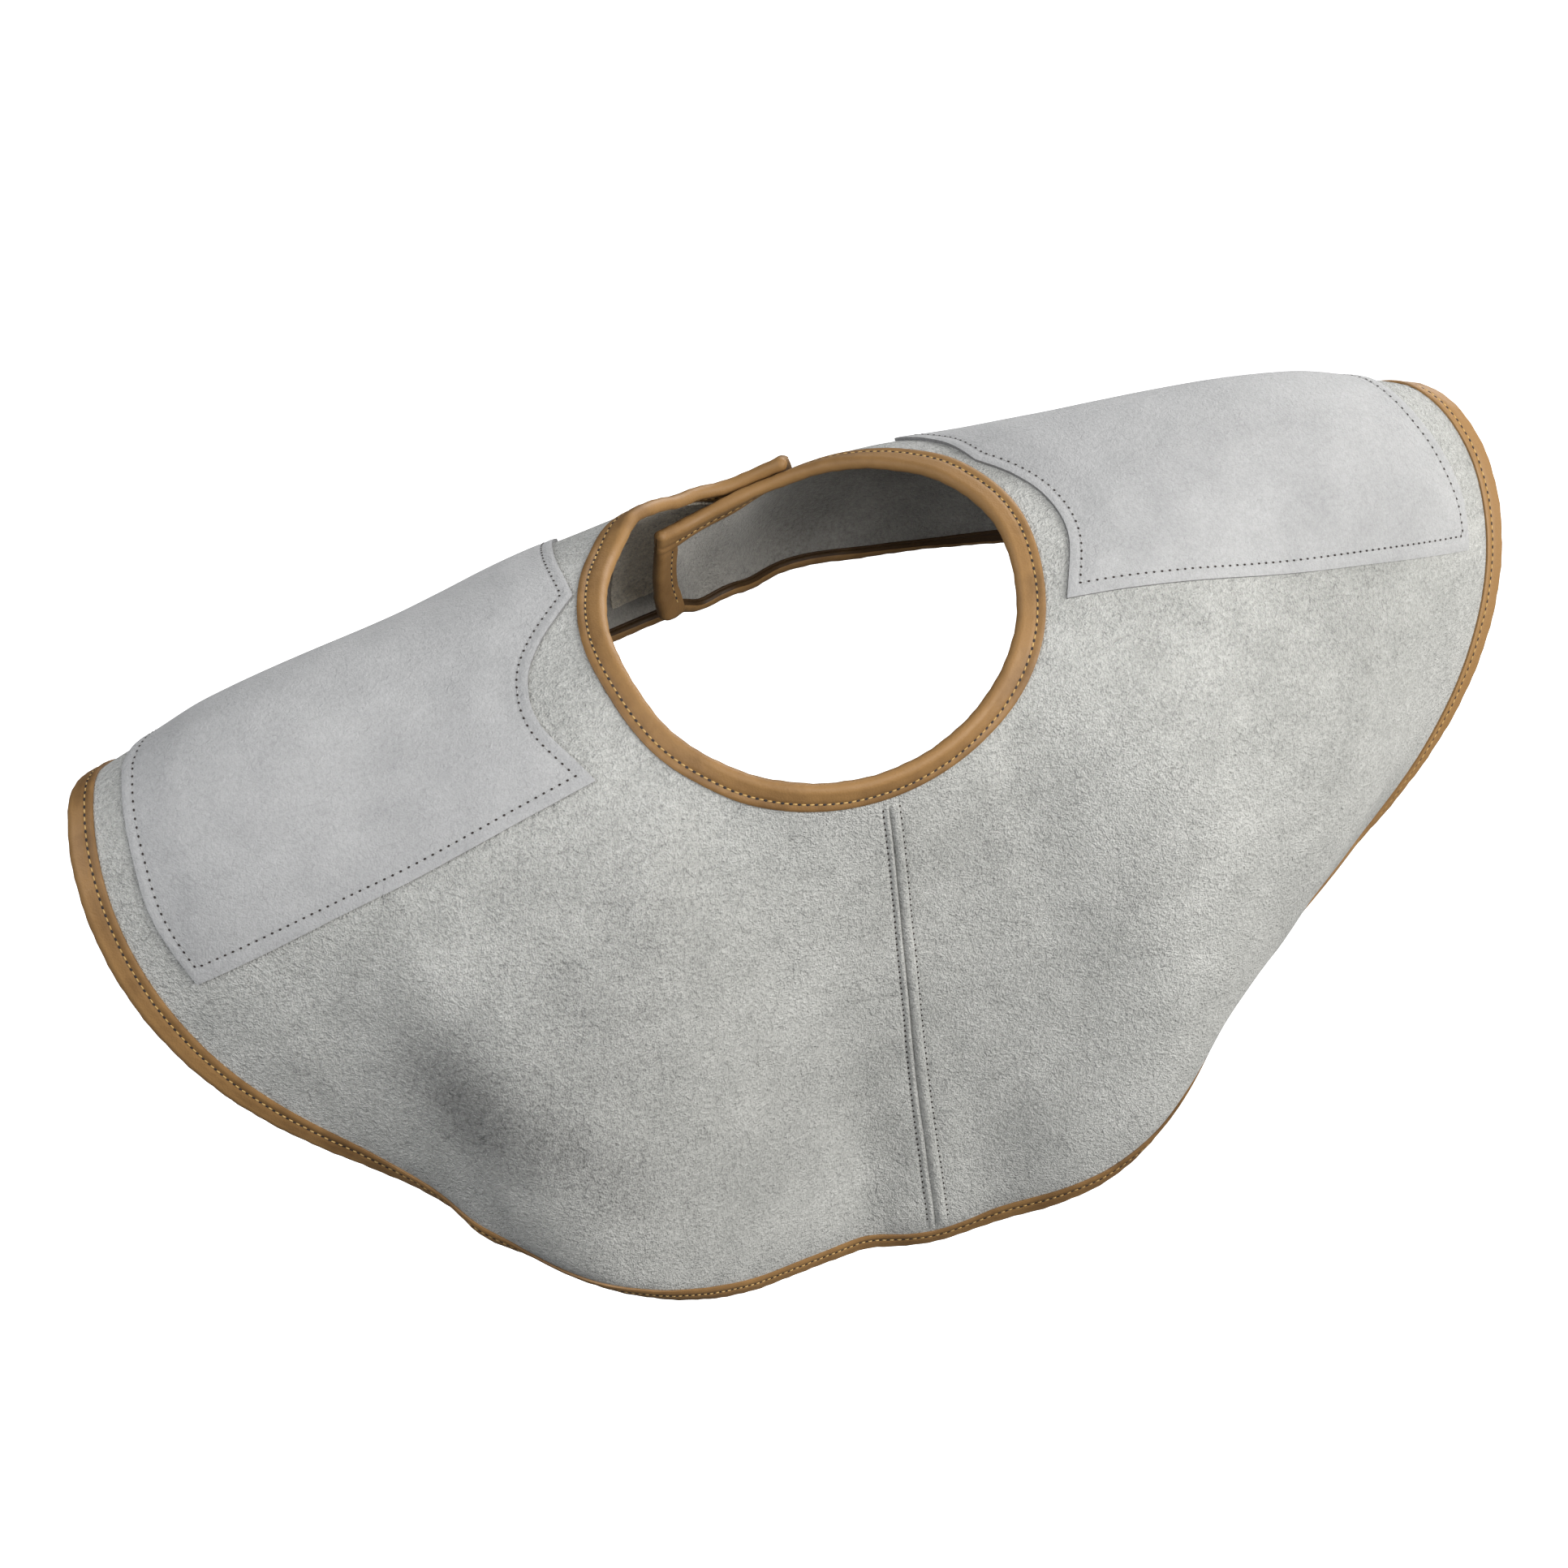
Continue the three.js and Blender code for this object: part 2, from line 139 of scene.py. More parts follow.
# Outer and inner leg of a folded strip: turn round the fold, and sign of the way out.
LEGS = ((math.pi, 1.0), (0.0, -1.0))
WELTS = {Side.LEFT: Welt(0.5, 1.2, 0.9, 2.4), Side.RIGHT: Welt(0.9, 2.2, 1.6, 4.0)}
RIBS = (
    Rib(-160, 46, -17, 86, 38, 75, 85),
    Rib(-135, 49, -10, 104, 10, 66, 86),
    Rib(-110, 56, -2, 161, -1, 40, 79),
    Rib(-90, 65, 2, 193, 1, 0, 25),
    Rib(-65, 80, 0, 227, 9, 38, 110),
    Rib(-45, 90, -14, 224, 28, 64, 95),
    Rib(-25, 92, -27, 224, 67, 85, 80),
    Rib(0, 92, -33, 229, 83, 86, 76),
    Rib(25, 92, -27, 222, 69, 77, 78),
    Rib(45, 90, -14, 218, 17, 72, 106),
    Rib(65, 80, 0, 251, 2, 48, 125),
    Rib(90, 65, 2, 199, -5, 7, 33),
    Rib(110, 56, -2, 131, -1, 54, 77),
    Rib(135, 49, -8, 90, 18, 68, 85),
    Rib(160, 46, -16, 68, 37, 70, 83),
    Rib(180, 44, -18, 60, 60, 73, 81),
)
FOLDS = (
    Fold(-62, 172, 9, 42, 9),
    Fold(-45, 165, 8, 45, -3),
    Fold(-56, 228, 3, 12, -4),
    Fold(-30, 185, 9, 60, -4),
    Fold(-12, 190, 6, 50, 3.5),
    Fold(2, 185, 6, 40, -1.5),
    Fold(12, 205, 7, 45, 3),
    Fold(32, 190, 9, 50, -3),
    Fold(-43, 115, 9, 40, 2),
    Fold(-36, 36, 4.5, 22, 2.5),
    Fold(-42, 52, 4, 20, -1.5),
    Fold(60, 220, 6, 16, 2.8),
)
# Where the collar stands up beside the tab, and where the tab hangs lower.
LIFTS = (
    Fold(-127, -8, 14, 16, 11.5),
    Fold(-143, -8, 9, 16, 3.2),
    Fold(-184, 0, 28, 40, -2.4),
)
# Painted shade and light on the outside, partly real dirt: darker in the folds' shade, paler where
# painted as lit; depth is the share of light lost, less than 0 where it is paler.
SMUDGES = (
    Fold(-57, 162, 6, 24, 0.46),
    Fold(-49, 150, 6, 20, 0.3),
    Fold(-42, 161, 5, 22, 0.18),
    Fold(-68.5, 194, 5, 18, 0.16),
    Fold(-45, 100, 9, 28, 0.15),
    Fold(-40, 66, 7, 20, 0.1),
    Fold(-40.5, 40, 4, 14, 0.08),
    Fold(-47.5, 50, 3, 12, 0.08),
    Fold(-30, 150, 12, 40, 0.08),
    Fold(16, 47, 7, 22, 0.05),
    Fold(40, 155, 13, 45, -0.14),
    Fold(64, 130, 10, 40, 0.08),
    Fold(32, 66, 9, 22, -0.08),
    Fold(43, 31, 9, 18, -0.07),
)
# Painted light and shade on the inside, in the same form; the inner face beside the tab is painted
# much paler, as if lit.
INNER_SMUDGES = (
    Fold(-152, 40, 20, 60, -0.8),
    Fold(150, 50, 14, 18, 0.2),
    Fold(212, 32, 10, 14, 0.25),
    Fold(190, 12, 20, 12, -0.15),
)
PADS = {
    Side.LEFT: PadForm(
        front=(
            PadRow(95, -67, 253, -59),
            PadRow(104, -46, 252, -42),
            PadRow(102, -29, 247, -26),
            PadRow(92, -15, 243, -13),
            PadRow(75, 0, 237, 2),
        ),
        back=(PadRow(75, 0, 237, 2), PadRow(73, 24, 216, 31), PadRow(66, 52, 184, 56)),
        bow=6.5,
    ),
    Side.RIGHT: PadForm(
        front=(
            PadRow(82, -61, 268, -51),
            PadRow(91, -42, 262, -38),
            PadRow(91, -26, 252, -24),
            PadRow(85, -11, 243, -12),
            PadRow(76, 2, 234, 3),
        ),
        back=(PadRow(76, 2, 234, 3), PadRow(71, 20, 205, 31), PadRow(62, 40, 160, 52)),
        bow=10.0,
    ),
}


def ease(value: np.ndarray) -> np.ndarray:
    """Smooth step from 0 to 1."""
    t = np.clip(value, 0.0, 1.0)
    return t * t * (3.0 - 2.0 * t)


class Ramp(NamedTuple):
    """Soft rise from 0 at its start to 1 where it is full."""

    start: float
    full: float

    def at(self, value: np.ndarray) -> np.ndarray:
        """Share of the rise at a value."""
        return ease((np.asarray(value) - self.start) / (self.full - self.start))


def unit(vectors: np.ndarray) -> np.ndarray:
    """Vectors of length 1."""
    return vectors / np.maximum(np.linalg.norm(vectors, axis=-1, keepdims=True), TINY)


def hump(value: np.ndarray, middle: float, reach: float, power: float = 2.0) -> np.ndarray:
    """Smooth hump of height 1 at middle, which fades out over reach."""
    return np.exp(-(np.abs((value - middle) / reach) ** power))


def wrap(angle: np.ndarray) -> np.ndarray:
    """Degrees from the front, between -180 and 180."""
    return (np.asarray(angle, float) + 180.0) % 360.0 - 180.0


def arc(points: np.ndarray) -> np.ndarray:
    """Distance along a line at each of its points."""
    return np.concatenate([[0.0], np.cumsum(np.linalg.norm(np.diff(points, axis=0), axis=1))])


def direction(azimuth: float, elevation: float) -> Vector:
    """Unit vector at degrees from the front towards +X and degrees above level."""
    a, e = math.radians(azimuth), math.radians(elevation)
    return Vector((math.sin(a) * math.cos(e), -math.cos(a) * math.cos(e), math.sin(e)))


def resample(points: np.ndarray, pitch: float) -> np.ndarray:
    """Even places along a line.

    Args:
        points: Points of the line, in millimetres.
        pitch: Wanted distance between places.

    Returns:
        Fractional indexes into points, an even distance apart.
    """
    run = arc(points)
    count = max(2, round(run[-1] / pitch))
    return np.interp(np.linspace(0.0, run[-1], count + 1), run, np.arange(len(points)))


def catmull(points: np.ndarray, t: np.ndarray) -> np.ndarray:
    """Smooth curve through points.

    Args:
        points: The points that it passes through.
        t: Fractions along it, 0 to 1.

    Returns:
        Points of the curve.
    """
    place = np.clip(t, 0.0, 1.0) * (len(points) - 1)
    k = np.minimum(place.astype(int), len(points) - 2)
    w = (place - k)[..., None]
    p0, p1 = points[np.maximum(k - 1, 0)], points[k]
    p2, p3 = points[k + 1], points[np.minimum(k + 2, len(points) - 1)]
    v0, v1 = (p2 - p0) / 2, (p3 - p1) / 2
    cubic = (2 * p1 - 2 * p2 + v0 + v1) * w**3
    return cubic + (-3 * p1 + 3 * p2 - 2 * v0 - v1) * w**2 + v0 * w + p1


def fold_section(leg_depths: Sequence[float], turns: int) -> tuple[np.ndarray, np.ndarray]:
    """Section of a folded strip, from its inner margin round the fold to its outer one.

    Args:
        leg_depths: Depths of the rows of one leg, from the fold to the margin.
        turns: Rows round the fold.

    Returns:
        Depth of each row from the edge, and its angle round the fold.
    """
    leg = np.array(leg_depths)
    depths = np.concatenate([leg[::-1], np.zeros(turns), leg])
    turn = np.linspace(0.0, math.pi, turns)
    return depths, np.concatenate([np.zeros(len(leg)), turn, np.full(len(leg), math.pi)])


@dataclass(frozen=True)
class Drape:
    """The hanging leather: an angle round the neck and a distance down from the neck edge."""

    ribs: tuple[Rib, ...] = RIBS
    folds: tuple[Fold, ...] = FOLDS
    lifts: tuple[Fold, ...] = LIFTS
    steps: int = 32
    left_end: float = -205.5
    right_end: float = 219.0
    lap_ramp: Ramp = Ramp(126.0, 168.0)
    lap_rise: float = 6.5
    end_start: float = 168.0
    end_drop: float = 7.0
    end_short: float = 58.0
    end_slope: float = 82.0
    end_uncurl: float = 0.6
    tab_ramp: Ramp = Ramp(132.0, 162.0)
    tab_short: float = 6.0
    hem_curl: float = 32.0
    hem_curl_reach: float = 24.0
    hem_curl_ramp: Ramp = Ramp(70.0, 45.0)
    back_curl: float = 45.0
    back_curl_ramp: Ramp = Ramp(115.0, 145.0)
    ripple_seed: int = 11
    ripple_share: float = 0.002
    ripple_fade: float = 25.0
    ripple_lengths: tuple[float, ...] = (17, 21, 24, 29, 33, 38, 44, 52, 61, 74)
    angle_step: float = 0.2
    edge_step: float = 0.5
    distance_step: float = 0.5

    def column(self, name: str, angle: np.ndarray) -> np.ndarray:
        """One column of the rib table at any angle.

        Args:
            name: Field of Rib.
            angle: Degrees from the front.

        Returns:
            Values on a smooth curve through the rows.
        """
        knots = np.array([rib.angle for rib in self.ribs], float)
        values = np.tile([getattr(rib, name) for rib in self.ribs], 3).astype(float)
        knots = np.concatenate([knots - 360.0, knots, knots + 360.0])
        rises, runs = (np.roll(row, -1) - np.roll(row, 1) for row in (values, knots))
        slopes = rises / runs
        at = wrap(angle)
        k = np.searchsorted(knots, at, side="right") - 1
        span = knots[k + 1] - knots[k]
        t = (at - knots[k]) / span
        start = (2 * t**3 - 3 * t**2 + 1) * values[k] + (t**3 - 2 * t**2 + t) * span * slopes[k]
        end = (3 * t**2 - 2 * t**3) * values[k + 1] + (t**3 - t**2) * span * slopes[k + 1]
        return start + end

    def push(self, angle: np.ndarray, distance: np.ndarray) -> np.ndarray:
        """How far the folds push the wall in."""
        return self.spread(self.folds, wrap(angle), distance) + self.ripple(angle, distance)

    @staticmethod
    def spread(folds: Sequence[Fold], angle: np.ndarray, distance: np.ndarray) -> np.ndarray:
        """Sum of soft spots on the wall.

        Args:
            folds: Where the spots lie, how far they reach and how deep they are.
            angle: Degrees from the front.
            distance: Millimetres down from the neck edge.

        Returns:
            Depth at each place.
        """
        depth = np.zeros(np.broadcast(angle, distance).shape)
        for fold in folds:
            across = (angle - fold.angle) / fold.across
            along = (distance - fold.distance) / fold.along
            depth = depth + fold.depth * np.exp(-across * across - along * along)
        return depth

    def ripple(self, angle: np.ndarray, distance: np.ndarray) -> np.ndarray:
        """Small uneven waves of worked leather, the same on every run.

        Args:
            angle: Degrees from the front.
            distance: Millimetres down from the neck edge.

        Returns:
            Depth at each place.
        """
        rng = np.random.default_rng(self.ripple_seed)
        reach, turn = self.column("neck_radius", angle) + distance, np.radians(angle)
        x, y = reach * np.sin(turn), reach * np.cos(turn)
        total = np.zeros(np.broadcast(angle, distance).shape)
        for length in self.ripple_lengths:
            way, phase = rng.uniform(0.0, 2.0 * math.pi, 2)
            along = x * math.cos(way) + y * math.sin(way)
            total = total + length * np.sin(along * 2.0 * math.pi / length + phase)
        left = self.length(angle) - distance
        inside = ease(distance / self.ripple_fade) * ease(left / self.ripple_fade)
        return total * self.ripple_share * inside

    def point(self, angle: np.ndarray, distance: np.ndarray) -> np.ndarray:
        """Points in the middle of the wall.

        Args:
            angle: Degrees from the front.
            distance: Millimetres down from the neck edge.

        Returns:
            Points in millimetres, one row each.
        """
        angle, distance = np.broadcast_arrays(np.asarray(angle, float), np.asarray(distance, float))
        part = (np.arange(self.steps) + 0.5) / self.steps
        along = 2.0 * distance[..., None] * part / self.length(angle)[..., None]
        slopes = ("slope_neck", "slope_mid", "slope_hem")
        neck, mid, hem = (self.column(name, angle)[..., None] for name in slopes)
        slope = np.where(along < 1, neck + (mid - neck) * along, mid + (hem - mid) * (along - 1))
        slope = slope + (self.end_slope - slope) * self.near_end(angle)[..., None]
        turned_in = ease(1.0 - self.rest(angle, distance, part))
        slope = np.radians(slope + self.curl(angle)[..., None] * turned_in)
        step = distance / self.steps
        radius = self.column("neck_radius", angle) - self.push(angle, distance)
        radius = radius + step * np.cos(slope).sum(-1)
        height = self.column("neck_height", angle) - self.end_drop * self.near_end(angle)
        height = height + self.spread(self.lifts, angle, distance) - step * np.sin(slope).sum(-1)
        turn = np.radians(angle)
        return np.stack([radius * np.sin(turn), -radius * np.cos(turn), height], -1)

    def length(self, angle: np.ndarray) -> np.ndarray:
        """Length of the hanging form, from the neck edge down."""
        return self.column("length", angle) - self.end_short * self.near_end(angle)

    def hem(self, angle: np.ndarray) -> np.ndarray:
        """Distance of the hem from the neck edge; the tab is cut shorter than its form."""
        return self.length(angle) - self.tab_short * self.tab_ramp.at(-np.asarray(angle))

    def near_end(self, angle: np.ndarray) -> np.ndarray:
        """How far the right end has left the tab's form, to hang upright inside it: 0 to 1."""
        return Ramp(self.end_start, self.right_end).at(angle)

    def curl(self, angle: np.ndarray) -> np.ndarray:
        """How the hem turns in, at the front and at the back.

        Args:
            angle: Degrees from the front.

        Returns:
            Degrees that it turns in by.
        """
        around = np.abs(wrap(angle))
        front = self.hem_curl * self.hem_curl_ramp.at(around)
        back = self.back_curl * self.back_curl_ramp.at(around)
        return (front + back) * (1.0 - self.end_uncurl * self.near_end(angle))

    def rest(self, angle: np.ndarray, distance: np.ndarray, part: np.ndarray) -> np.ndarray:
        """Length left to the hem at parts of the way down, over the turned-in edge's reach."""
        left = self.length(angle)[..., None] - distance[..., None] * part
        return left / self.hem_curl_reach

    def frame(self, angle: np.ndarray, distance: np.ndarray) -> tuple[np.ndarray, ...]:
        """Directions of the wall.

        Args:
            angle: Degrees from the front.
            distance: Millimetres down from the neck edge.

        Returns:
            Unit vectors round the neck, down the rib, and outward.
        """
        turn, drop = self.angle_step, self.distance_step
        round_way = unit(self.point(angle + turn, distance) - self.point(angle - turn, distance))
        down = unit(self.point(angle, distance + drop) - self.point(angle, distance - drop))
        return round_way, down, unit(np.cross(down, round_way))

    def lap(self, angle: np.ndarray) -> np.ndarray:
        """How far the left tab stands off the right end at the back."""
        return self.lap_rise * self.lap_ramp.at(-np.asarray(angle))

    def offset(self, angle: np.ndarray, distance: np.ndarray, height: np.ndarray) -> np.ndarray:
        """Points at a height outward from the middle of the wall."""
        lift = np.asarray(height) + self.lap(angle)
        return self.point(angle, distance) + self.frame(angle, distance)[2] * lift[..., None]

    def from_pattern(self, flat: np.ndarray, side: Side) -> tuple[np.ndarray, np.ndarray]:
        """Angle and distance of points on the flat pattern.

        Args:
            flat: Sideways and backward distances from the middle of the neck.
            side: Half of the vest.

        Returns:
            Degrees from the front, and millimetres down from the neck edge.
        """
        angle = side.value * np.degrees(np.arctan2(flat[..., 0], -flat[..., 1]))
        return angle, np.hypot(flat[..., 0], flat[..., 1]) - self.column("neck_radius", angle)

    def end(self, side: Side) -> float:
        """Angle of a panel's end at the back."""
        return self.left_end if side is Side.LEFT else self.right_end

    def edge_at(self, edge: Edge, angle: np.ndarray) -> np.ndarray:
        """Distance of an edge along the rib."""
        return np.zeros_like(angle) if edge is Edge.NECK else self.hem(angle)

    def edge_line(self, edge: Edge, angle: np.ndarray) -> np.ndarray:
        """Points of an edge in the middle of the wall."""
        return self.point(angle, self.edge_at(edge, angle))

    def edge_frame(
        self, edge: Edge, angle: np.ndarray
    ) -> tuple[np.ndarray, float, np.ndarray, np.ndarray]:
        """How an edge runs.

        Args:
            edge: Neck edge or hem.
            angle: Degrees from the front.

        Returns:
            Distance of the edge along the rib, sign of the way in from it, its skew, and unit
            vectors in from it.
        """
        step, start = self.edge_step, self.edge_at(edge, angle)
        along = unit(self.edge_line(edge, angle + step) - self.edge_line(edge, angle - step))
        _, down, outward = self.frame(angle, start)
        inward = 1.0 if edge is Edge.NECK else -1.0
        skew = np.sqrt(1.0 - (along * down).sum(-1) ** 2)
        across = unit(np.cross(along, outward))
        across *= (inward * np.sign((across * down).sum(-1)))[..., None]
        return start, inward, skew, across


class Graph:
    """Short way to add and link the nodes of a material or a group."""

    def __init__(self, tree: bpy.types.NodeTree) -> None:
        """Keeps the tree that nodes are added to."""
        self.tree = tree

    def add(self, kind: str, inputs: dict | None = None, **settings: object) -> bpy.types.Node:
        """Adds one node.

        Args:
            kind: Node type, without the ShaderNode prefix unless it is a group node.
            inputs: Values or sockets for the node's inputs, by name or number.
            settings: Properties of the node.

        Returns:
            The new node.
        """
        node = self.tree.nodes.new(kind if kind.startswith("NodeGroup") else "ShaderNode" + kind)
        for name, value in settings.items():
            setattr(node, name, value)
        for name, value in (inputs or {}).items():
            if isinstance(value, bpy.types.NodeSocket):
                self.tree.links.new(value, node.inputs[name])
            else:
                node.inputs[name].default_value = value
        return node

    def math(self, operation: str, *values: Value) -> Socket:
        """Result of a math node."""
        return self.add("Math", dict(enumerate(values)), operation=operation).outputs[0]

    def vector(self, operation: str, *values: Value) -> Socket:
        """Result of a vector math node."""
        return self.add("VectorMath", dict(enumerate(values)), operation=operation).outputs[0]

    def shares(self, a: Socket, share_a: float, b: Socket, share_b: float) -> Socket:
        """Sum of two values, each times its share."""
        parts = self.math("MULTIPLY", a, share_a), self.math("MULTIPLY", b, share_b)
        return self.math("ADD", *parts)

    def mix(self, factor: Value, a: Socket, b: Socket, blend: str = "MIX") -> Socket:
        """Result of a colour mix node."""
        settings = {"data_type": "RGBA", "blend_type": blend, "clamp_factor": True}
        return self.add("Mix", {0: factor, 6: a, 7: b}, **settings).outputs[2]

    def shaded(self, colour: Socket, value: Socket) -> Socket:
        """Colour times a value."""
        grey = self.add("CombineColor", {0: value, 1: value, 2: value}).outputs[0]
        return self.mix(1.0, colour, grey, "MULTIPLY")

    def noise(self, vector: Socket, scale: float, detail: float, output: str = "Fac") -> Socket:
        """Noise at a scale in cycles a metre."""
        inputs = {"Vector": vector, "Scale": scale, "Detail": detail}
        return self.add("TexNoise", inputs).outputs[output]

    def cells(self, vector: Socket, scale: float, feature: str) -> Socket:
        """Distance in a pattern of cells at a scale in cells a metre."""
        inputs = {"Vector": vector, "Scale": scale}
        return self.add("TexVoronoi", inputs, feature=feature).outputs["Distance"]

    def ramp(
        self, value: Value, low: float, high: float, start: float = 0.0, end: float = 1.0
    ) -> Socket:
        """Value mapped from one range to another, held at the ends."""
        ranges = {"From Min": low, "From Max": high, "To Min": start, "To Max": end}
        return self.add("MapRange", {"Value": value, **ranges}).outputs[0]


def new_group(name: str, inputs: dict[str, str]) -> tuple[Graph, bpy.types.NodeOutputs]:
    """Empty shader node group for the colour, roughness and height of a surface.

    Args:
        name: Name of the group.
        inputs: Socket types of its inputs, by name.

    Returns:
        The graph of the new group, and the sockets that give its inputs.
    """
    group = bpy.data.node_groups.new(name, "ShaderNodeTree")
    outputs = {"Color": "Color", "Roughness": "Float", "Height": "Float"}
    for direction, sockets in (("INPUT", inputs), ("OUTPUT", outputs)):
        for socket, kind in sockets.items():
            group.interface.new_socket(socket, in_out=direction, socket_type="NodeSocket" + kind)
    graph = Graph(group)
    return graph, graph.add("NodeGroupInput").outputs


def suede_group() -> bpy.types.NodeTree:
    """Shared nap of the suede: soft blotches, pores, short hair-like marks and broken creases.

    Returns:
        The node group.
    """
    inputs = {"Vector": "Vector", "Light": "Color", "Dark": "Color", "Nap": "Float"}
    graph, given = new_group("suede_nap", {**inputs, "Smudge": "Float"})
    place = given["Vector"]
    blotch = graph.ramp(graph.noise(place, 22.0, 5.0), 0.3, 0.7, 0.0, 0.6)
    cloud = graph.ramp(graph.noise(place, 75.0, 4.0), 0.3, 0.7, 0.0, 0.4)
    base = graph.mix(graph.math("ADD", blotch, cloud), given["Light"], given["Dark"])
    drawn = graph.vector("MULTIPLY", place, (0.3, 1.0, 1.0))
    hair = graph.ramp(graph.noise(drawn, 850.0, 3.0), 0.5, 0.72)
    tufts = graph.ramp(graph.noise(place, 680.0, 4.0), 0.3, 0.7)
    pores = graph.ramp(graph.noise(place, 1600.0, 2.0), 0.3, 0.7)
    pile = graph.shares(tufts, 0.6, pores, 0.5)
    shift = graph.noise(place, 260.0, 3.0, "Color")
    bent = graph.vector("MULTIPLY_ADD", shift, (0.005, 0.005, 0.005), place)
    edge = graph.ramp(graph.cells(bent, 190.0, "DISTANCE_TO_EDGE"), 0.0, 0.09, 1.0, 0.0)
    broken = graph.ramp(graph.noise(place, 140.0, 3.0), 0.46, 0.62)
    crease = graph.math("MULTIPLY", edge, broken)
    grain = graph.math("SUBTRACT", pile, graph.shares(hair, 0.18, crease, 0.3))
    depth = graph.math("MULTIPLY", given["Nap"], 0.3)
    # Painted shade, painted light and dirt from the mesh attribute darken or lighten the colour
    # here.
    clean = graph.math("SUBTRACT", 1.0, given["Smudge"])
    fleck = graph.math("MULTIPLY_ADD", graph.math("SUBTRACT", grain, 0.48), depth, clean)
    rough = graph.ramp(grain, 0.0, 1.0, 0.97, 0.86)
    results = {"Color": graph.shaded(base, fleck), "Roughness": rough, "Height": grain}
    graph.add("NodeGroupOutput", results)
    return graph.tree


def leather_group() -> bpy.types.NodeTree:
    """Shared grain of the smooth leather: fine cells, soft mottling, lighter worn places and
    painted shade where the value is below 0.

    Returns:
        The node group.
    """
    inputs = {"Vector": "Vector", "Light": "Color", "Dark": "Color", "Worn": "Float"}
    graph, given = new_group("leather_grain", inputs)
    place, worn = given["Vector"], given["Worn"]
    mottle = graph.ramp(graph.noise(place, 110.0, 5.0), 0.32, 0.68)
    patch = graph.ramp(graph.noise(place, 24.0, 3.0), 0.32, 0.68)
    cells = graph.cells(place, 1300.0, "F1")
    wrinkle = graph.noise(place, 420.0, 4.0)
    tone = graph.shares(mottle, 0.55, patch, 0.45)
    rubbed = graph.math("SUBTRACT", tone, graph.math("MULTIPLY", worn, 0.45))
    plain = graph.mix(rubbed, given["Light"], given["Dark"])
    # Painted shade: values below 0 darken the colour, on the hem's inner leg.
    dull = graph.math("MULTIPLY_ADD", graph.math("MINIMUM", worn, 0.0), 0.6, 1.0)
    height = graph.shares(cells, 0.5, wrinkle, 0.8)
    rough = graph.ramp(tone, 0.0, 1.0, 0.46, 0.62)
    results = {"Color": graph.shaded(plain, dull), "Roughness": rough, "Height": height}
    graph.add("NodeGroupOutput", results)
    return graph.tree


def new_material(
    name: str, group: bpy.types.NodeTree, values: dict, bump: float, **constants: float
) -> bpy.types.Material:
    """Material whose colour, roughness and bump come from a shared group.

    Args:
        name: Name of the material.
        group: Group with Color, Roughness and Height outputs.
        values: Values of the group's inputs; a name links the mesh attribute of that name.
        bump: Height of the bump in metres.
        constants: Values set on the shader's own sockets, with _ for spaces.

    Returns:
        The new material.
    """
    material = bpy.data.materials.new(name)
    material.use_nodes = True
    graph = Graph(material.node_tree)
    link = graph.tree.links.new
    shader = graph.tree.nodes["Principled BSDF"]
    node = graph.add("Group", node_tree=group)
    link(graph.add("TexCoord").outputs["Object"], node.inputs["Vector"])
    for socket, value in values.items():
        if isinstance(value, str):
            link(graph.add("Attribute", attribute_name=value).outputs["Fac"], node.inputs[socket])
        else:
            colour = isinstance(value, tuple)
            node.inputs[socket].default_value = (*value, 1.0) if colour else value
    heights = {"Strength": 1.0, "Distance": bump, "Height": node.outputs["Height"]}
    link(node.outputs["Color"], shader.inputs["Base Color"])
    link(node.outputs["Roughness"], shader.inputs["Roughness"])
    link(graph.add("Bump", heights).outputs["Normal"], shader.inputs["Normal"])
    for socket, value in constants.items():
        shader.inputs[socket.replace("_", " ")].default_value = value
    return material


@dataclass(frozen=True)
class SuedeFinish:
    """Napped suede, cloth or thread in two tones."""

    name: str
    light: Colour
    dark: Colour
    nap: float = 1.0
    bump: float = 0.0004
    sheen: float = 0.25
    sheen_roughness: float = 0.5
    gloss: float = 0.15

    def material(self, group: bpy.types.NodeTree) -> bpy.types.Material:
        """Builds the material.

        Args:
            group: The shared nap.

        Returns:
            The new material.
        """
        values = {"Light": self.light, "Dark": self.dark, "Nap": self.nap, "Smudge": "smudge"}
        sheen = {"Sheen_Weight": self.sheen, "Sheen_Roughness": self.sheen_roughness}
        constants = {**sheen, "Specular_IOR_Level": self.gloss}
        return new_material(self.name, group, values, self.bump, **constants)


@dataclass(frozen=True)
class LeatherFinish:
    """Smooth leather in two tones, lighter where it is rubbed and darker where shade is painted on.
    """

    name: str
    light: Colour
    dark: Colour
    bump: float = 0.00012
    gloss: float = 0.35

    def material(self, group: bpy.types.NodeTree) -> bpy.types.Material:
        """Builds the material on the shared grain."""
        values = {"Light": self.light, "Dark": self.dark, "Worn": "worn"}
        return new_material(self.name, group, values, self.bump, Specular_IOR_Level=self.gloss)


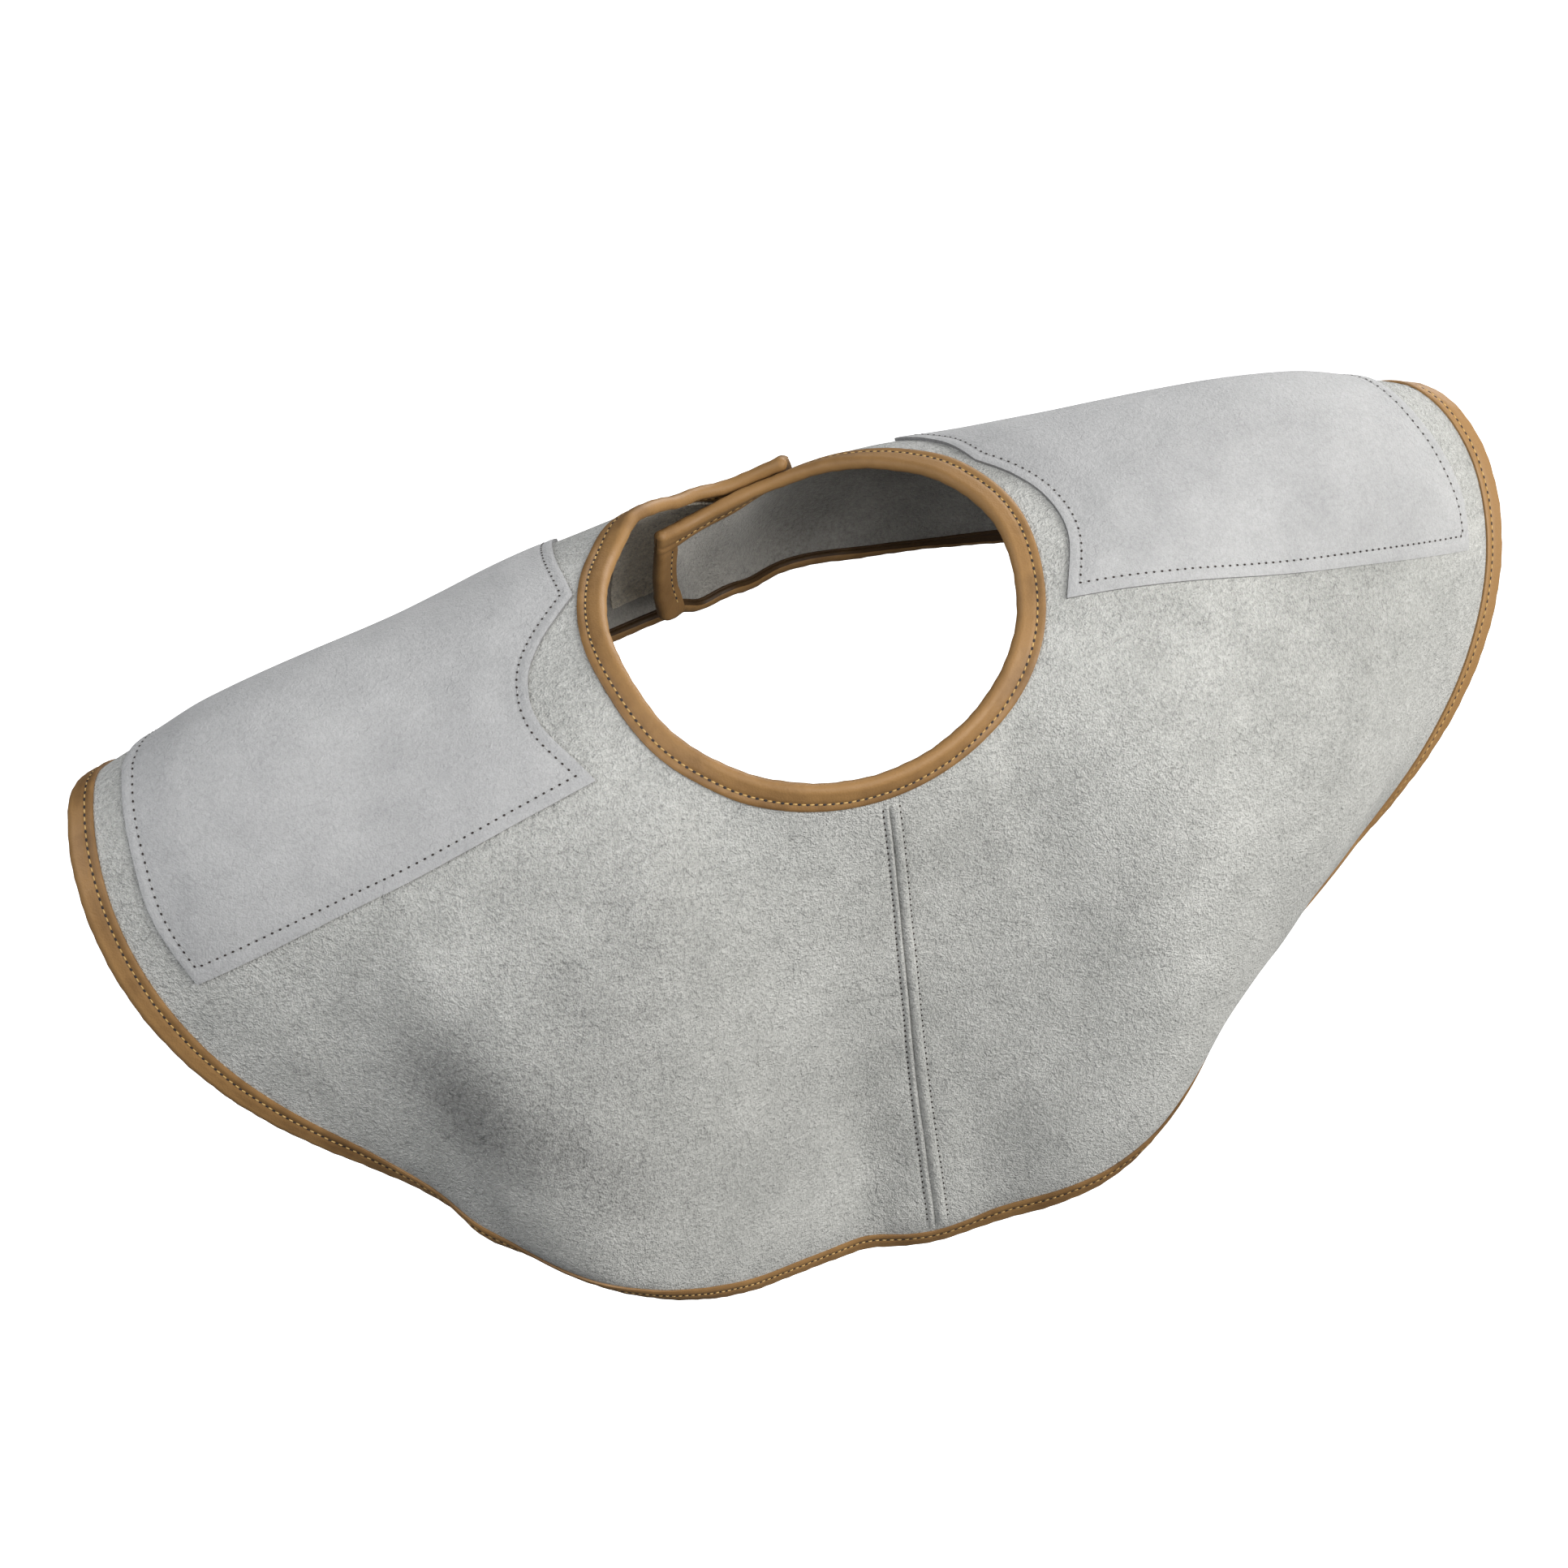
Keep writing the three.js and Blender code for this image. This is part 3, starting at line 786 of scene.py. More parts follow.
class Look(Enum):
    """Every finish of the vest."""

    SUEDE = SuedeFinish("suede_body", (0.54, 0.54, 0.52), (0.385, 0.388, 0.372), 1.8, 0.0008)
    PAD = SuedeFinish("suede_pad", (0.434, 0.434, 0.437), (0.34, 0.342, 0.346), 0.7, 0.0002)
    # Dark grey cut edges and underside of the pads: painted shadow line under the pad's edge.
    PAD_EDGE = SuedeFinish("suede_pad_edge", (0.24, 0.24, 0.24), (0.17, 0.17, 0.17))
    INSIDE = SuedeFinish("suede_inside", (0.36, 0.345, 0.32), (0.24, 0.232, 0.215), 1.5, 0.0005)
    STRIP = LeatherFinish("tan_strip", (0.3, 0.166, 0.061), (0.142, 0.073, 0.025))
    GOLD_THREAD = SuedeFinish("thread_gold", (0.62, 0.42, 0.17), (0.48, 0.3, 0.1), 1.0, 0.0001)
    GREY_THREAD = SuedeFinish("thread_grey", (0.45, 0.45, 0.44), (0.36, 0.36, 0.35), 1.5, 0.0001)
    # Near-black beads between stitches: painted shade in the needle holes.
    HOLE = SuedeFinish("needle_hole", (0.06, 0.05, 0.045), (0.035, 0.03, 0.03), 1.0, 0.0001, 0.0)
    HOOK = SuedeFinish("tape_hook", (0.9, 0.84, 0.72), (0.7, 0.62, 0.5), 2.0, 0.0005)
    LOOP = SuedeFinish("tape_loop", (0.3, 0.22, 0.13), (0.17, 0.11, 0.06), 2.5, 0.0008)


class Finishes:
    """Material of every finish, built once on the two shared groups."""

    def __init__(self) -> None:
        """Builds the groups and the materials."""
        groups = {SuedeFinish: suede_group(), LeatherFinish: leather_group()}
        self.made = {look: look.value.material(groups[type(look.value)]) for look in Look}

    def take(self, *looks: Look) -> list[bpy.types.Material]:
        """Materials of some finishes, in their order."""
        return [self.made[look] for look in looks]


def bent_sheet(
    name: str, columns: int, rows: int, place: Place, materials: Materials
) -> bpy.types.Object:
    """Closed sheet: a flat grid with a second layer behind it, bent into place.

    Args:
        name: Name of the object.
        columns: Cells along the grid.
        rows: Cells across the grid.
        place: Gives points in millimetres for column and row numbers and a layer, 1 outside and
            0 inside.
        materials: For the outside, the inside and the cut edges; the last one stands for any
            that is missing.

    Returns:
        The new object.
    """
    bm = bmesh.new()
    bmesh.ops.create_grid(bm, x_segments=columns, y_segments=rows, size=0.5)
    made = bmesh.ops.extrude_face_region(bm, geom=bm.faces[:], use_keep_orig=True)
    inner = {item for item in made["geom"] if isinstance(item, bmesh.types.BMVert)}
    for layer in (0, 1):
        verts = [vert for vert in bm.verts if (vert in inner) == (layer == 0)]
        flat = np.array([vert.co[:2] for vert in verts]) + 0.5
        spots = np.rint(flat * (columns, rows)).astype(int)
        for vert, point in zip(verts, place(spots[:, 0], spots[:, 1], layer) * MM):
            vert.co = point
    for face in bm.faces:
        behind = sum(vert in inner for vert in face.verts)
        face.material_index = min({0: 0, len(face.verts): 1}.get(behind, 2), len(materials) - 1)
        face.smooth = True
    bmesh.ops.recalc_face_normals(bm, faces=bm.faces[:])
    if bm.calc_volume(signed=True) < 0.0:
        bmesh.ops.reverse_faces(bm, faces=bm.faces[:])
    return finish_mesh(name, bm, materials)


def finish_mesh(name: str, bm: bmesh.types.BMesh, materials: Materials) -> bpy.types.Object:
    """Object made from a bmesh, which is freed.

    Args:
        name: Name of the object.
        bm: Finished mesh.
        materials: Materials in slot order.

    Returns:
        The new object, at the origin.
    """
    mesh = bpy.data.meshes.new(name)
    bm.to_mesh(mesh)
    bm.free()
    for material in materials:
        mesh.materials.append(material)
    mesh.set_sharp_from_angle(angle=SHARP_ANGLE)
    thing = bpy.data.objects.new(name, mesh)
    bpy.context.scene.collection.objects.link(thing)
    return thing


def mark(piece: bpy.types.Object, name: str, values: np.ndarray) -> None:
    """Keeps a value at each vertex, for the material to read."""
    layer = piece.data.attributes.new(name, "FLOAT", "POINT")
    layer.data.foreach_set("value", values.astype(np.float32))


def enter(piece: bpy.types.Object, slot: str, *nodes: str) -> None:
    """Ties a piece to the frame and reports it.

    Args:
        piece: The finished piece.
        slot: Material slot of the record; not used.
        nodes: CAD nodes that it stands for.
    """
    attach(piece, "root")
    if nodes:
        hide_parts(*nodes)
    LOG.info("%s: %d faces", piece.name, len(piece.data.polygons))


@dataclass(frozen=True)
class Stitching:
    """Rows of sewn stitches: short threads with a dark bead between each two, the painted shade in
    a needle hole.
    """

    pitch: float = 3.0
    thread: float = 0.55
    cover: float = 0.62
    hole: float = 0.5
    hole_width: float = 0.75
    hole_depth: float = 0.12
    hole_lift: float = 0.1
    lift: float = 0.1
    slant: float = 0.0

    def build(self, name: str, slot: str, rows: Sequence[Row], materials: Materials) -> None:
        """Builds one piece from some rows.

        Args:
            name: Name of the piece.
            slot: Material slot of the record.
            rows: For each row, its points on the leather in millimetres and the outward
                directions there.
            materials: For the threads and for the painted shade of the holes.
        """
        bm = bmesh.new()
        for points, normals in rows:
            self.sew(bm, points, normals)
        enter(finish_mesh(name, bm, materials), slot)

    def sew(self, bm: bmesh.types.BMesh, points: np.ndarray, normals: np.ndarray) -> None:
        """Adds the threads and the holes of one row.

        Args:
            bm: Mesh that takes them; threads get material 0 and the holes' painted shade 1.
            points: Line on the leather, in millimetres.
            normals: Outward directions at the points.
        """
        index, spots = np.arange(len(points)), resample(points, self.pitch)
        ends, ups = (
            np.stack([np.interp(spots, index, values[:, axis]) for axis in range(3)], -1)
            for values in (points, normals)
        )
        ups = unit(ups)
        up = unit(ups[:-1] + ups[1:])
        along = unit(ends[1:] - ends[:-1])
        along = unit(along + np.cross(up, along) * self.slant)
        axes = np.stack([along, unit(np.cross(up, along)), up], 1)
        middle = (ends[1:] + ends[:-1]) / 2 + up * self.lift
        thread = np.array((self.pitch * self.cover / 2, self.thread / 2, self.thread / 2))
        hole = np.array((self.hole, self.hole * self.hole_width, self.hole_depth))
        self.beads(bm, middle, axes * thread[:, None], 0)
        self.beads(bm, ends[:-1] + up * self.hole_lift, axes * hole[:, None], 1)

    @staticmethod
    def beads(bm: bmesh.types.BMesh, middles: np.ndarray, axes: np.ndarray, slot: int) -> None:
        """Adds small rounded beads.

        Args:
            bm: Mesh that takes them.
            middles: Their middles, in millimetres.
            axes: Three half axes of each, in millimetres.
            slot: Material number of their faces.
        """
        shape = bmesh.new()
        lying = Matrix.Rotation(math.pi / 2, 4, "Y")
        bmesh.ops.create_uvsphere(shape, u_segments=6, v_segments=4, radius=1.0, matrix=lying)
        for face in shape.faces:
            face.material_index = slot
            face.smooth = True
        bead = bpy.data.meshes.new("bead")
        shape.to_mesh(bead)
        round_form = np.array([vert.co[:] for vert in shape.verts])
        shape.free()
        for middle, axis in zip(middles, axes):
            points = (round_form @ axis + middle) * MM
            bead.vertices.foreach_set("co", points.ravel().astype(np.float32))
            bm.from_mesh(bead, face_normals=False, vertex_normals=False)
        bpy.data.meshes.remove(bead)


STRIP_STITCHES = Stitching(
    pitch=2.9, thread=0.6, cover=0.6, hole=0.62, slant=0.1, hole_lift=0.16
)
SEAM_STITCHES = Stitching(pitch=2.7, thread=0.4, cover=0.5, hole=0.55, hole_lift=0.18)
PAD_STITCHES = Stitching(pitch=3.0, thread=0.35, cover=0.45, hole=0.52, hole_lift=0.25)


@dataclass
class Panel:
    """Half of the suede body, from the front seam to its end at the back."""

    drape: Drape
    finishes: Finishes
    side: Side
    thickness: float = 2.0
    column_step: float = 0.9
    first_step: float = 0.7
    last_step: float = 0.2
    rows: int = 84
    flat: tuple[float, float] = (0.58, 0.3)
    flat_share: float = 0.55
    seam_radius: float = 100.0
    seam_margin: float = 9.0
    seam_fade: float = 5.0
    welt_power: float = 3.0
    trough_depth: float = 0.4
    trough_reach: float = 0.6
    groove_depth: float = 0.5
    groove_reach: float = 0.5
    seam_steps: tuple[float, ...] = (
        0.02, 0.3, 0.7, 1.1, 1.5, 1.9, 2.4, 2.9, 3.4,
        4.0, 4.6, 5.2, 5.8, 6.5, 7.5, 9.0, 11.0,
    )

    def angles(self) -> np.ndarray:
        """Column angles, close together beside the seam.

        Returns:
            Degrees from the front.
        """
        near = np.degrees(np.array(self.seam_steps) / self.seam_radius)
        last = abs(self.drape.end(self.side))
        far = np.arange(near[-1] + self.first_step, last - self.last_step, self.column_step)
        return self.side.value * np.concatenate([near, far, [last]])

    def relief(self, angle: np.ndarray, distance: np.ndarray) -> np.ndarray:
        """The front seam: a groove, a round welt and a trough for its stitches.

        Args:
            angle: Degrees from the front.
            distance: Millimetres down from the neck edge.

        Returns:
            Height of the seam.
        """
        off = np.radians(np.abs(angle)) * self.seam_radius
        welt = WELTS[self.side]
        shape = welt.height * hump(off, welt.middle, welt.reach, self.welt_power)
        shape = shape - self.trough_depth * hump(off, welt.trough, self.trough_reach)
        left = self.drape.length(angle) - self.seam_margin - distance
        cover = ease((distance - self.seam_margin) / self.seam_fade) * ease(left / self.seam_fade)
        return cover * (shape - self.groove_depth * hump(off, 0.0, self.groove_reach))

    def build(self) -> None:
        """Builds the panel."""
        angles = self.angles()

        def place(column: np.ndarray, row: np.ndarray, layer: int) -> np.ndarray:
            """Places the panel.

            Args:
                column: Column numbers.
                row: Row numbers.
                layer: 1 outside, 0 inside.

            Returns:
                Points in millimetres.
            """
            angle = angles[column]
            distance = self.drape.hem(angle) * row / self.rows
            half = self.thickness / 2 * (1 if layer else -1)
            return self.drape.offset(angle, distance, half + self.relief(angle, distance))

        label = f"{self.side.name.lower()}_panel"
        materials = self.finishes.take(Look.SUEDE, Look.INSIDE, Look.SUEDE)
        sheet = bent_sheet(f"{label}_suede", len(angles) - 1, self.rows, place, materials)
        self.smudge(sheet, angles)
        enter(sheet, "grey_suede", label)

    def smudge(self, sheet: bpy.types.Object, angles: np.ndarray) -> None:
        """Marks the painted shade, painted light and dirt at each point of the suede.

        Args:
            sheet: The panel's object; the second half of its vertices is the inside.
            angles: Column angles.
        """
        index = np.arange(len(sheet.data.vertices)) % (len(angles) * (self.rows + 1))
        angle = angles[index % len(angles)]
        distance = self.drape.hem(angle) * (index // len(angles)) / self.rows
        outside = np.arange(len(index)) < len(index) // 2
        spots = (SMUDGES, INNER_SMUDGES)
        dirt = [self.drape.spread(table, angle, distance) for table in spots]
        mark(sheet, "smudge", np.where(outside, *dirt))


@dataclass
class FrontSeam:
    """Stitch rows beside the centre seam at the front, in the troughs of its welts."""

    panels: tuple[Panel, Panel]
    margin: float = 13.0
    samples: int = 120

    def build(self) -> None:
        """Builds the stitch rows."""
        drape, finishes = self.panels[0].drape, self.panels[0].finishes
        last = float(drape.length(np.array(0.0))) - self.margin
        distance = np.linspace(self.margin, last, self.samples)
        rows = []
        for panel in self.panels:
            off = math.degrees(WELTS[panel.side].trough / panel.seam_radius)
            angle = np.full_like(distance, panel.side.value * off)
            height = panel.thickness / 2 + panel.relief(angle, distance)
            rows.append((drape.offset(angle, distance, height), drape.frame(angle, distance)[2]))
        threads = finishes.take(Look.GREY_THREAD, Look.HOLE)
        SEAM_STITCHES.build("front_seam_stitches", "grey_suede", rows, threads)


@dataclass
class Binding:
    """Strip folded over the neck edge or the hem, with its stitch rows."""

    drape: Drape
    finishes: Finishes
    edge: Edge
    end_turn: float
    width: float = 7.5
    cell: float = 2.8
    samples: int = 2400
    end_steps: tuple[float, ...] = (0.3, 0.8, 1.6)
    end_round: float = 2.4
    end_least: float = 0.02
    end_tucked: float = 10.0
    end_fade: float = 4.0
    end_thin: float = 0.3
    inside: float = 1.03
    rim: float = 2.5
    rim_fade: float = 3.5
    leg: float = 2.05
    leg_depths: tuple[float, ...] = (
        0.5, 1.2, 2.0, 2.9, 3.6, 4.1, 4.6,
        5.1, 5.7, 6.4, 7.0, 7.3, 7.5,
    )
    turns: int = 9
    press: float = 0.45
    press_reach: float = 0.75
    margin_press: float = 0.35
    margin_reach: float = 0.7
    puckers: tuple[tuple[float, float, float], ...] = ((0.1, 0.83, 0.0), (0.07, 0.31, 1.0))
    pucker_fade: float = 4.0
    narrow_ramp: Ramp = Ramp(105.0, 130.0)
    narrow_leg: float = 0.32
    wear_fade: float = 3.0
    arm_wear: float = 1.6
    arm_angle: float = 88.0
    arm_reach: float = 26.0
    # Painted shade on the hem's inner leg, inside the vest.
    inner_wear: float = -1.0
    stitch_depth: float = 4.6
    stitch_gap: float = 5.0

    def stations(self) -> np.ndarray:
        """Places along the edge, an even distance apart and closer at the ends.

        Returns:
            Degrees from the front.
        """
        first, last = (self.drape.end(side) + side.value * self.end_turn for side in Side)
        dense = np.linspace(first, last, self.samples)
        spots = resample(self.line(dense), self.cell)
        even, near = np.interp(spots, np.arange(len(dense)), dense), np.array(self.end_steps)
        starts, stops = even[0] + near, even[-1] - near[::-1]
        return np.concatenate([even[:1], starts, even[1:-1], stops, even[-1:]])

    def line(self, angles: np.ndarray) -> np.ndarray:
        """Points of the edge in the middle of the wall."""
        start = self.drape.edge_at(self.edge, angles)
        return self.drape.offset(angles, start, np.zeros_like(angles))

    def ending(self, reach: np.ndarray, run: np.ndarray, total: float) -> np.ndarray:
        """Reach near the ends: rounded off on the neck, thin under the end strips on the hem.

        Args:
            reach: Distance from the middle of the wall along the rest of the strip.
            run: Distance along the strip.
            total: Length of the strip.

        Returns:
            Distance from the middle of the wall.
        """
        left = np.minimum(run, total - run)
        if self.edge is Edge.NECK:
            bare = 1.0 - np.clip(left / self.end_round, 0.0, 1.0)
            return reach * np.sqrt(np.clip(1.0 - bare**2, self.end_least, 1.0))
        full = ease((left - self.end_tucked) / self.end_fade)
        share = self.end_thin + (1.0 - self.end_thin) * full
        return self.inside + (reach - self.inside) * share

    def skin(self, depth: np.ndarray, run: np.ndarray) -> np.ndarray:
        """The strip's face: full at the rim, pressed by the stitches and at the margin.

        Args:
            depth: Millimetres in from the edge.
            run: Distance along the strip.

        Returns:
            Distance from the middle of the wall.
        """
        body = self.leg + (self.rim - self.leg) * np.exp(-depth / self.rim_fade)
        margin = ease((depth - self.width + self.margin_reach) / self.margin_reach)
        sewn = self.press * hump(depth, self.stitch_depth, self.press_reach)
        pucker = sum(height * np.sin(run * rate + phase) for height, rate, phase in self.puckers)
        loose = ease((self.width - depth) / self.pucker_fade)
        return body - (sewn + self.margin_press * margin) + pucker * loose

    def inner_share(self, angle: np.ndarray) -> np.ndarray:
        """Width of the inner leg over the outer one's, which is less at the back of the hem."""
        least = self.narrow_leg if self.edge is Edge.HEM else 1.0
        return 1.0 - (1.0 - least) * self.narrow_ramp.at(np.abs(wrap(angle)))

    def at(
        self, angle: np.ndarray, depth: np.ndarray, turn: np.ndarray, reach: np.ndarray
    ) -> np.ndarray:
        """Points of the folded strip.

        Args:
            angle: Degrees from the front.
            depth: Millimetres in from the edge, on the flat legs.
            turn: Angle round the fold, 0 on the inner leg and pi on the outer one.
            reach: Distance from the middle of the wall.

        Returns:
            Points in millimetres.
        """
        start, inward, skew, across = self.drape.edge_frame(self.edge, angle)
        depth = depth * np.where(turn > 0.0, 1.0, self.inner_share(angle))
        flat = self.drape.offset(angle, start + inward * depth / skew, -reach * np.cos(turn))
        return flat - across * (reach * np.sin(turn))[..., None]

    def build(self) -> None:
        """Builds the strip and its stitches."""
        angles = self.stations()
        depths, turns = fold_section(self.leg_depths, self.turns)
        runs = arc(self.line(angles))

        def place(column: np.ndarray, row: np.ndarray, layer: int) -> np.ndarray:
            """Places the strip.

            Args:
                column: Station numbers.
                row: Rows of the section.
                layer: 1 outside, 0 inside.

            Returns:
                Points in millimetres.
            """
            run = runs[column]
            reach = self.skin(depths[row], run) if layer else np.full(len(row), self.inside)
            reach = self.ending(reach, run, runs[-1])
            return self.at(angles[column], depths[row], turns[row], reach)

        label = f"{self.edge.value}_binding"
        leather = self.finishes.take(Look.STRIP)
        strip = bent_sheet(f"{label}_leather", len(angles) - 1, len(depths) - 1, place, leather)
        self.wear(strip, depths, angles)
        enter(strip, "tan_leather", label)
        threads = self.finishes.take(Look.GOLD_THREAD, Look.HOLE)
        rows = self.stitch_rows(angles, runs)
        STRIP_STITCHES.build(f"{label}_stitches", "tan_leather", rows, threads)

    def wear(self, strip: bpy.types.Object, depths: np.ndarray, angles: np.ndarray) -> None:
        """Marks each point: lighter where rubbed at the rim, paler round the right arm, and painted
        shade on the hem's inner leg.

        Args:
            strip: The strip's object.
            depths: Depth of each row across the strip.
            angles: Stations along the strip.
        """
        arm = self.arm_wear * hump(angles, self.arm_angle, self.arm_reach)
        rubbed = np.exp(-depths / self.wear_fade)[:, None] + arm[None]
        if self.edge is Edge.HEM:
            rubbed[: len(self.leg_depths)] = self.inner_wear
        mark(strip, "worn", np.tile(rubbed.ravel(), 2))

    def stitch_rows(self, angles: np.ndarray, runs: np.ndarray) -> list[Row]:
        """Stitch rows on the outer leg, and on the neck strip's inner leg.

        Args:
            angles: Stations along the edge.
            runs: Distance along the edge at the stations.

        Returns:
            Points and outward directions of each row.
        """
        first, last = self.drape.left_end + self.stitch_gap, self.drape.right_end - self.stitch_gap
        keep = (angles > first) & (angles < last)
        angle, depth = angles[keep], np.full(keep.sum(), self.stitch_depth)
        start, inward, skew, _ = self.drape.edge_frame(self.edge, angle)
        outward = self.drape.frame(angle, start + inward * depth / skew)[2]
        reach = self.skin(depth, runs[keep])
        legs = LEGS if self.edge is Edge.NECK else LEGS[:1]
        return [
            (self.at(angle, depth, np.full_like(angle, turn), reach), outward * way)
            for turn, way in legs
        ]


@dataclass
class EndBinding:
    """Short strip folded over the end of a panel at the back."""

    drape: Drape
    finishes: Finishes
    side: Side
    width: float = 7.5
    columns: int = 32
    tuck: float = 6.9
    past: float = 2.1
    last_reach: float = 0.55
    inside: float = 1.03
    step: float = 0.45
    step_fade: float = 3.0
    dip: float = 0.45
    dip_fade: float = 2.5
    face: float = 0.97
    rim: float = 0.4
    rim_fade: float = 3.5
    press: float = 0.4
    press_reach: float = 0.75
    leg_depths: tuple[float, ...] = (0.6, 1.4, 2.4, 3.4, 4.0, 4.6, 5.2, 6.0, 6.8, 7.3, 7.5)
    turns: int = 9
    stitch_depth: float = 4.6
    stitch_first: float = 1.5
    stitch_last: float = 3.0

    def at(
        self, distance: np.ndarray, depth: np.ndarray, turn: np.ndarray, reach: np.ndarray
    ) -> np.ndarray:
        """Points of the folded strip.

        Args:
            distance: Millimetres down from the neck edge.
            depth: Millimetres in from the end, on the flat legs.
            turn: Angle round the fold, 0 on the inner leg and pi on the outer one.
            reach: Distance from the middle of the wall.

        Returns:
            Points in millimetres.
        """
        end = np.full_like(distance, self.drape.end(self.side))
        middle = self.drape.point(end, distance)
        back = np.degrees(depth / np.hypot(middle[:, 0], middle[:, 1]))
        round_way = self.drape.frame(end, distance)[0]
        way = self.side.value
        flat = self.drape.offset(end - way * back, distance, -reach * np.cos(turn))
        return flat + round_way * (way * reach * np.sin(turn))[..., None]

    def skin(self, depth: np.ndarray) -> np.ndarray:
        """Height of the strip's face over its own back."""
        sewn = self.press * hump(depth, self.stitch_depth, self.press_reach)
        return self.face + self.rim * np.exp(-depth / self.rim_fade) - sewn

    def build(self) -> None:
        """Builds the strip and its stitches."""
        depths, turns = fold_section(self.leg_depths, self.turns)
        length = float(self.drape.hem(np.array(self.drape.end(self.side))))
        distances = np.linspace(self.tuck, length + self.past, self.columns + 1)
        free = ease((length - distances - self.width) / self.step_fade)
        backs = self.inside + self.step * (1.0 - free)
        dips = self.dip * (1.0 - ease((distances - self.tuck) / self.dip_fade))

        def place(column: np.ndarray, row: np.ndarray, layer: int) -> np.ndarray:
            """Places the strip.

            Args:
                column: Station numbers.
                row: Rows of the section.
                layer: 1 outside, 0 inside.

            Returns:
                Points in millimetres.
            """
            reach = backs[column] + (self.skin(depths[row]) - dips[column] if layer else 0.0)
            reach = reach * np.where(column == self.columns, self.last_reach, 1.0)
            return self.at(distances[column], depths[row], turns[row], reach)

        label = f"{self.side.name.lower()}_end_binding"
        leather = self.finishes.take(Look.STRIP)
        strip = bent_sheet(f"{label}_leather", self.columns, len(depths) - 1, place, leather)
        enter(strip, "tan_leather", label)
        first, last = self.tuck + self.stitch_first, length - self.stitch_last
        sewn = (distances > first) & (distances < last)
        threads = self.finishes.take(Look.GOLD_THREAD, Look.HOLE)
        rows = self.stitch_rows(distances[sewn], backs[sewn])
        STRIP_STITCHES.build(f"{label}_stitches", "tan_leather", rows, threads)

    def stitch_rows(self, distance: np.ndarray, back: np.ndarray) -> list[Row]:
        """Stitch rows on both legs.

        Args:
            distance: Millimetres down from the neck edge.
            back: Distance of the strip's back from the middle of the wall.

        Returns:
            Points and outward directions of each row.
        """
        depth = np.full_like(distance, self.stitch_depth)
        end = np.full_like(distance, self.drape.end(self.side))
        outward, reach = self.drape.frame(end, distance)[2], back + self.skin(depth)
        return [
            (self.at(distance, depth, np.full_like(distance, turn), reach), outward * way)
            for turn, way in LEGS
        ]


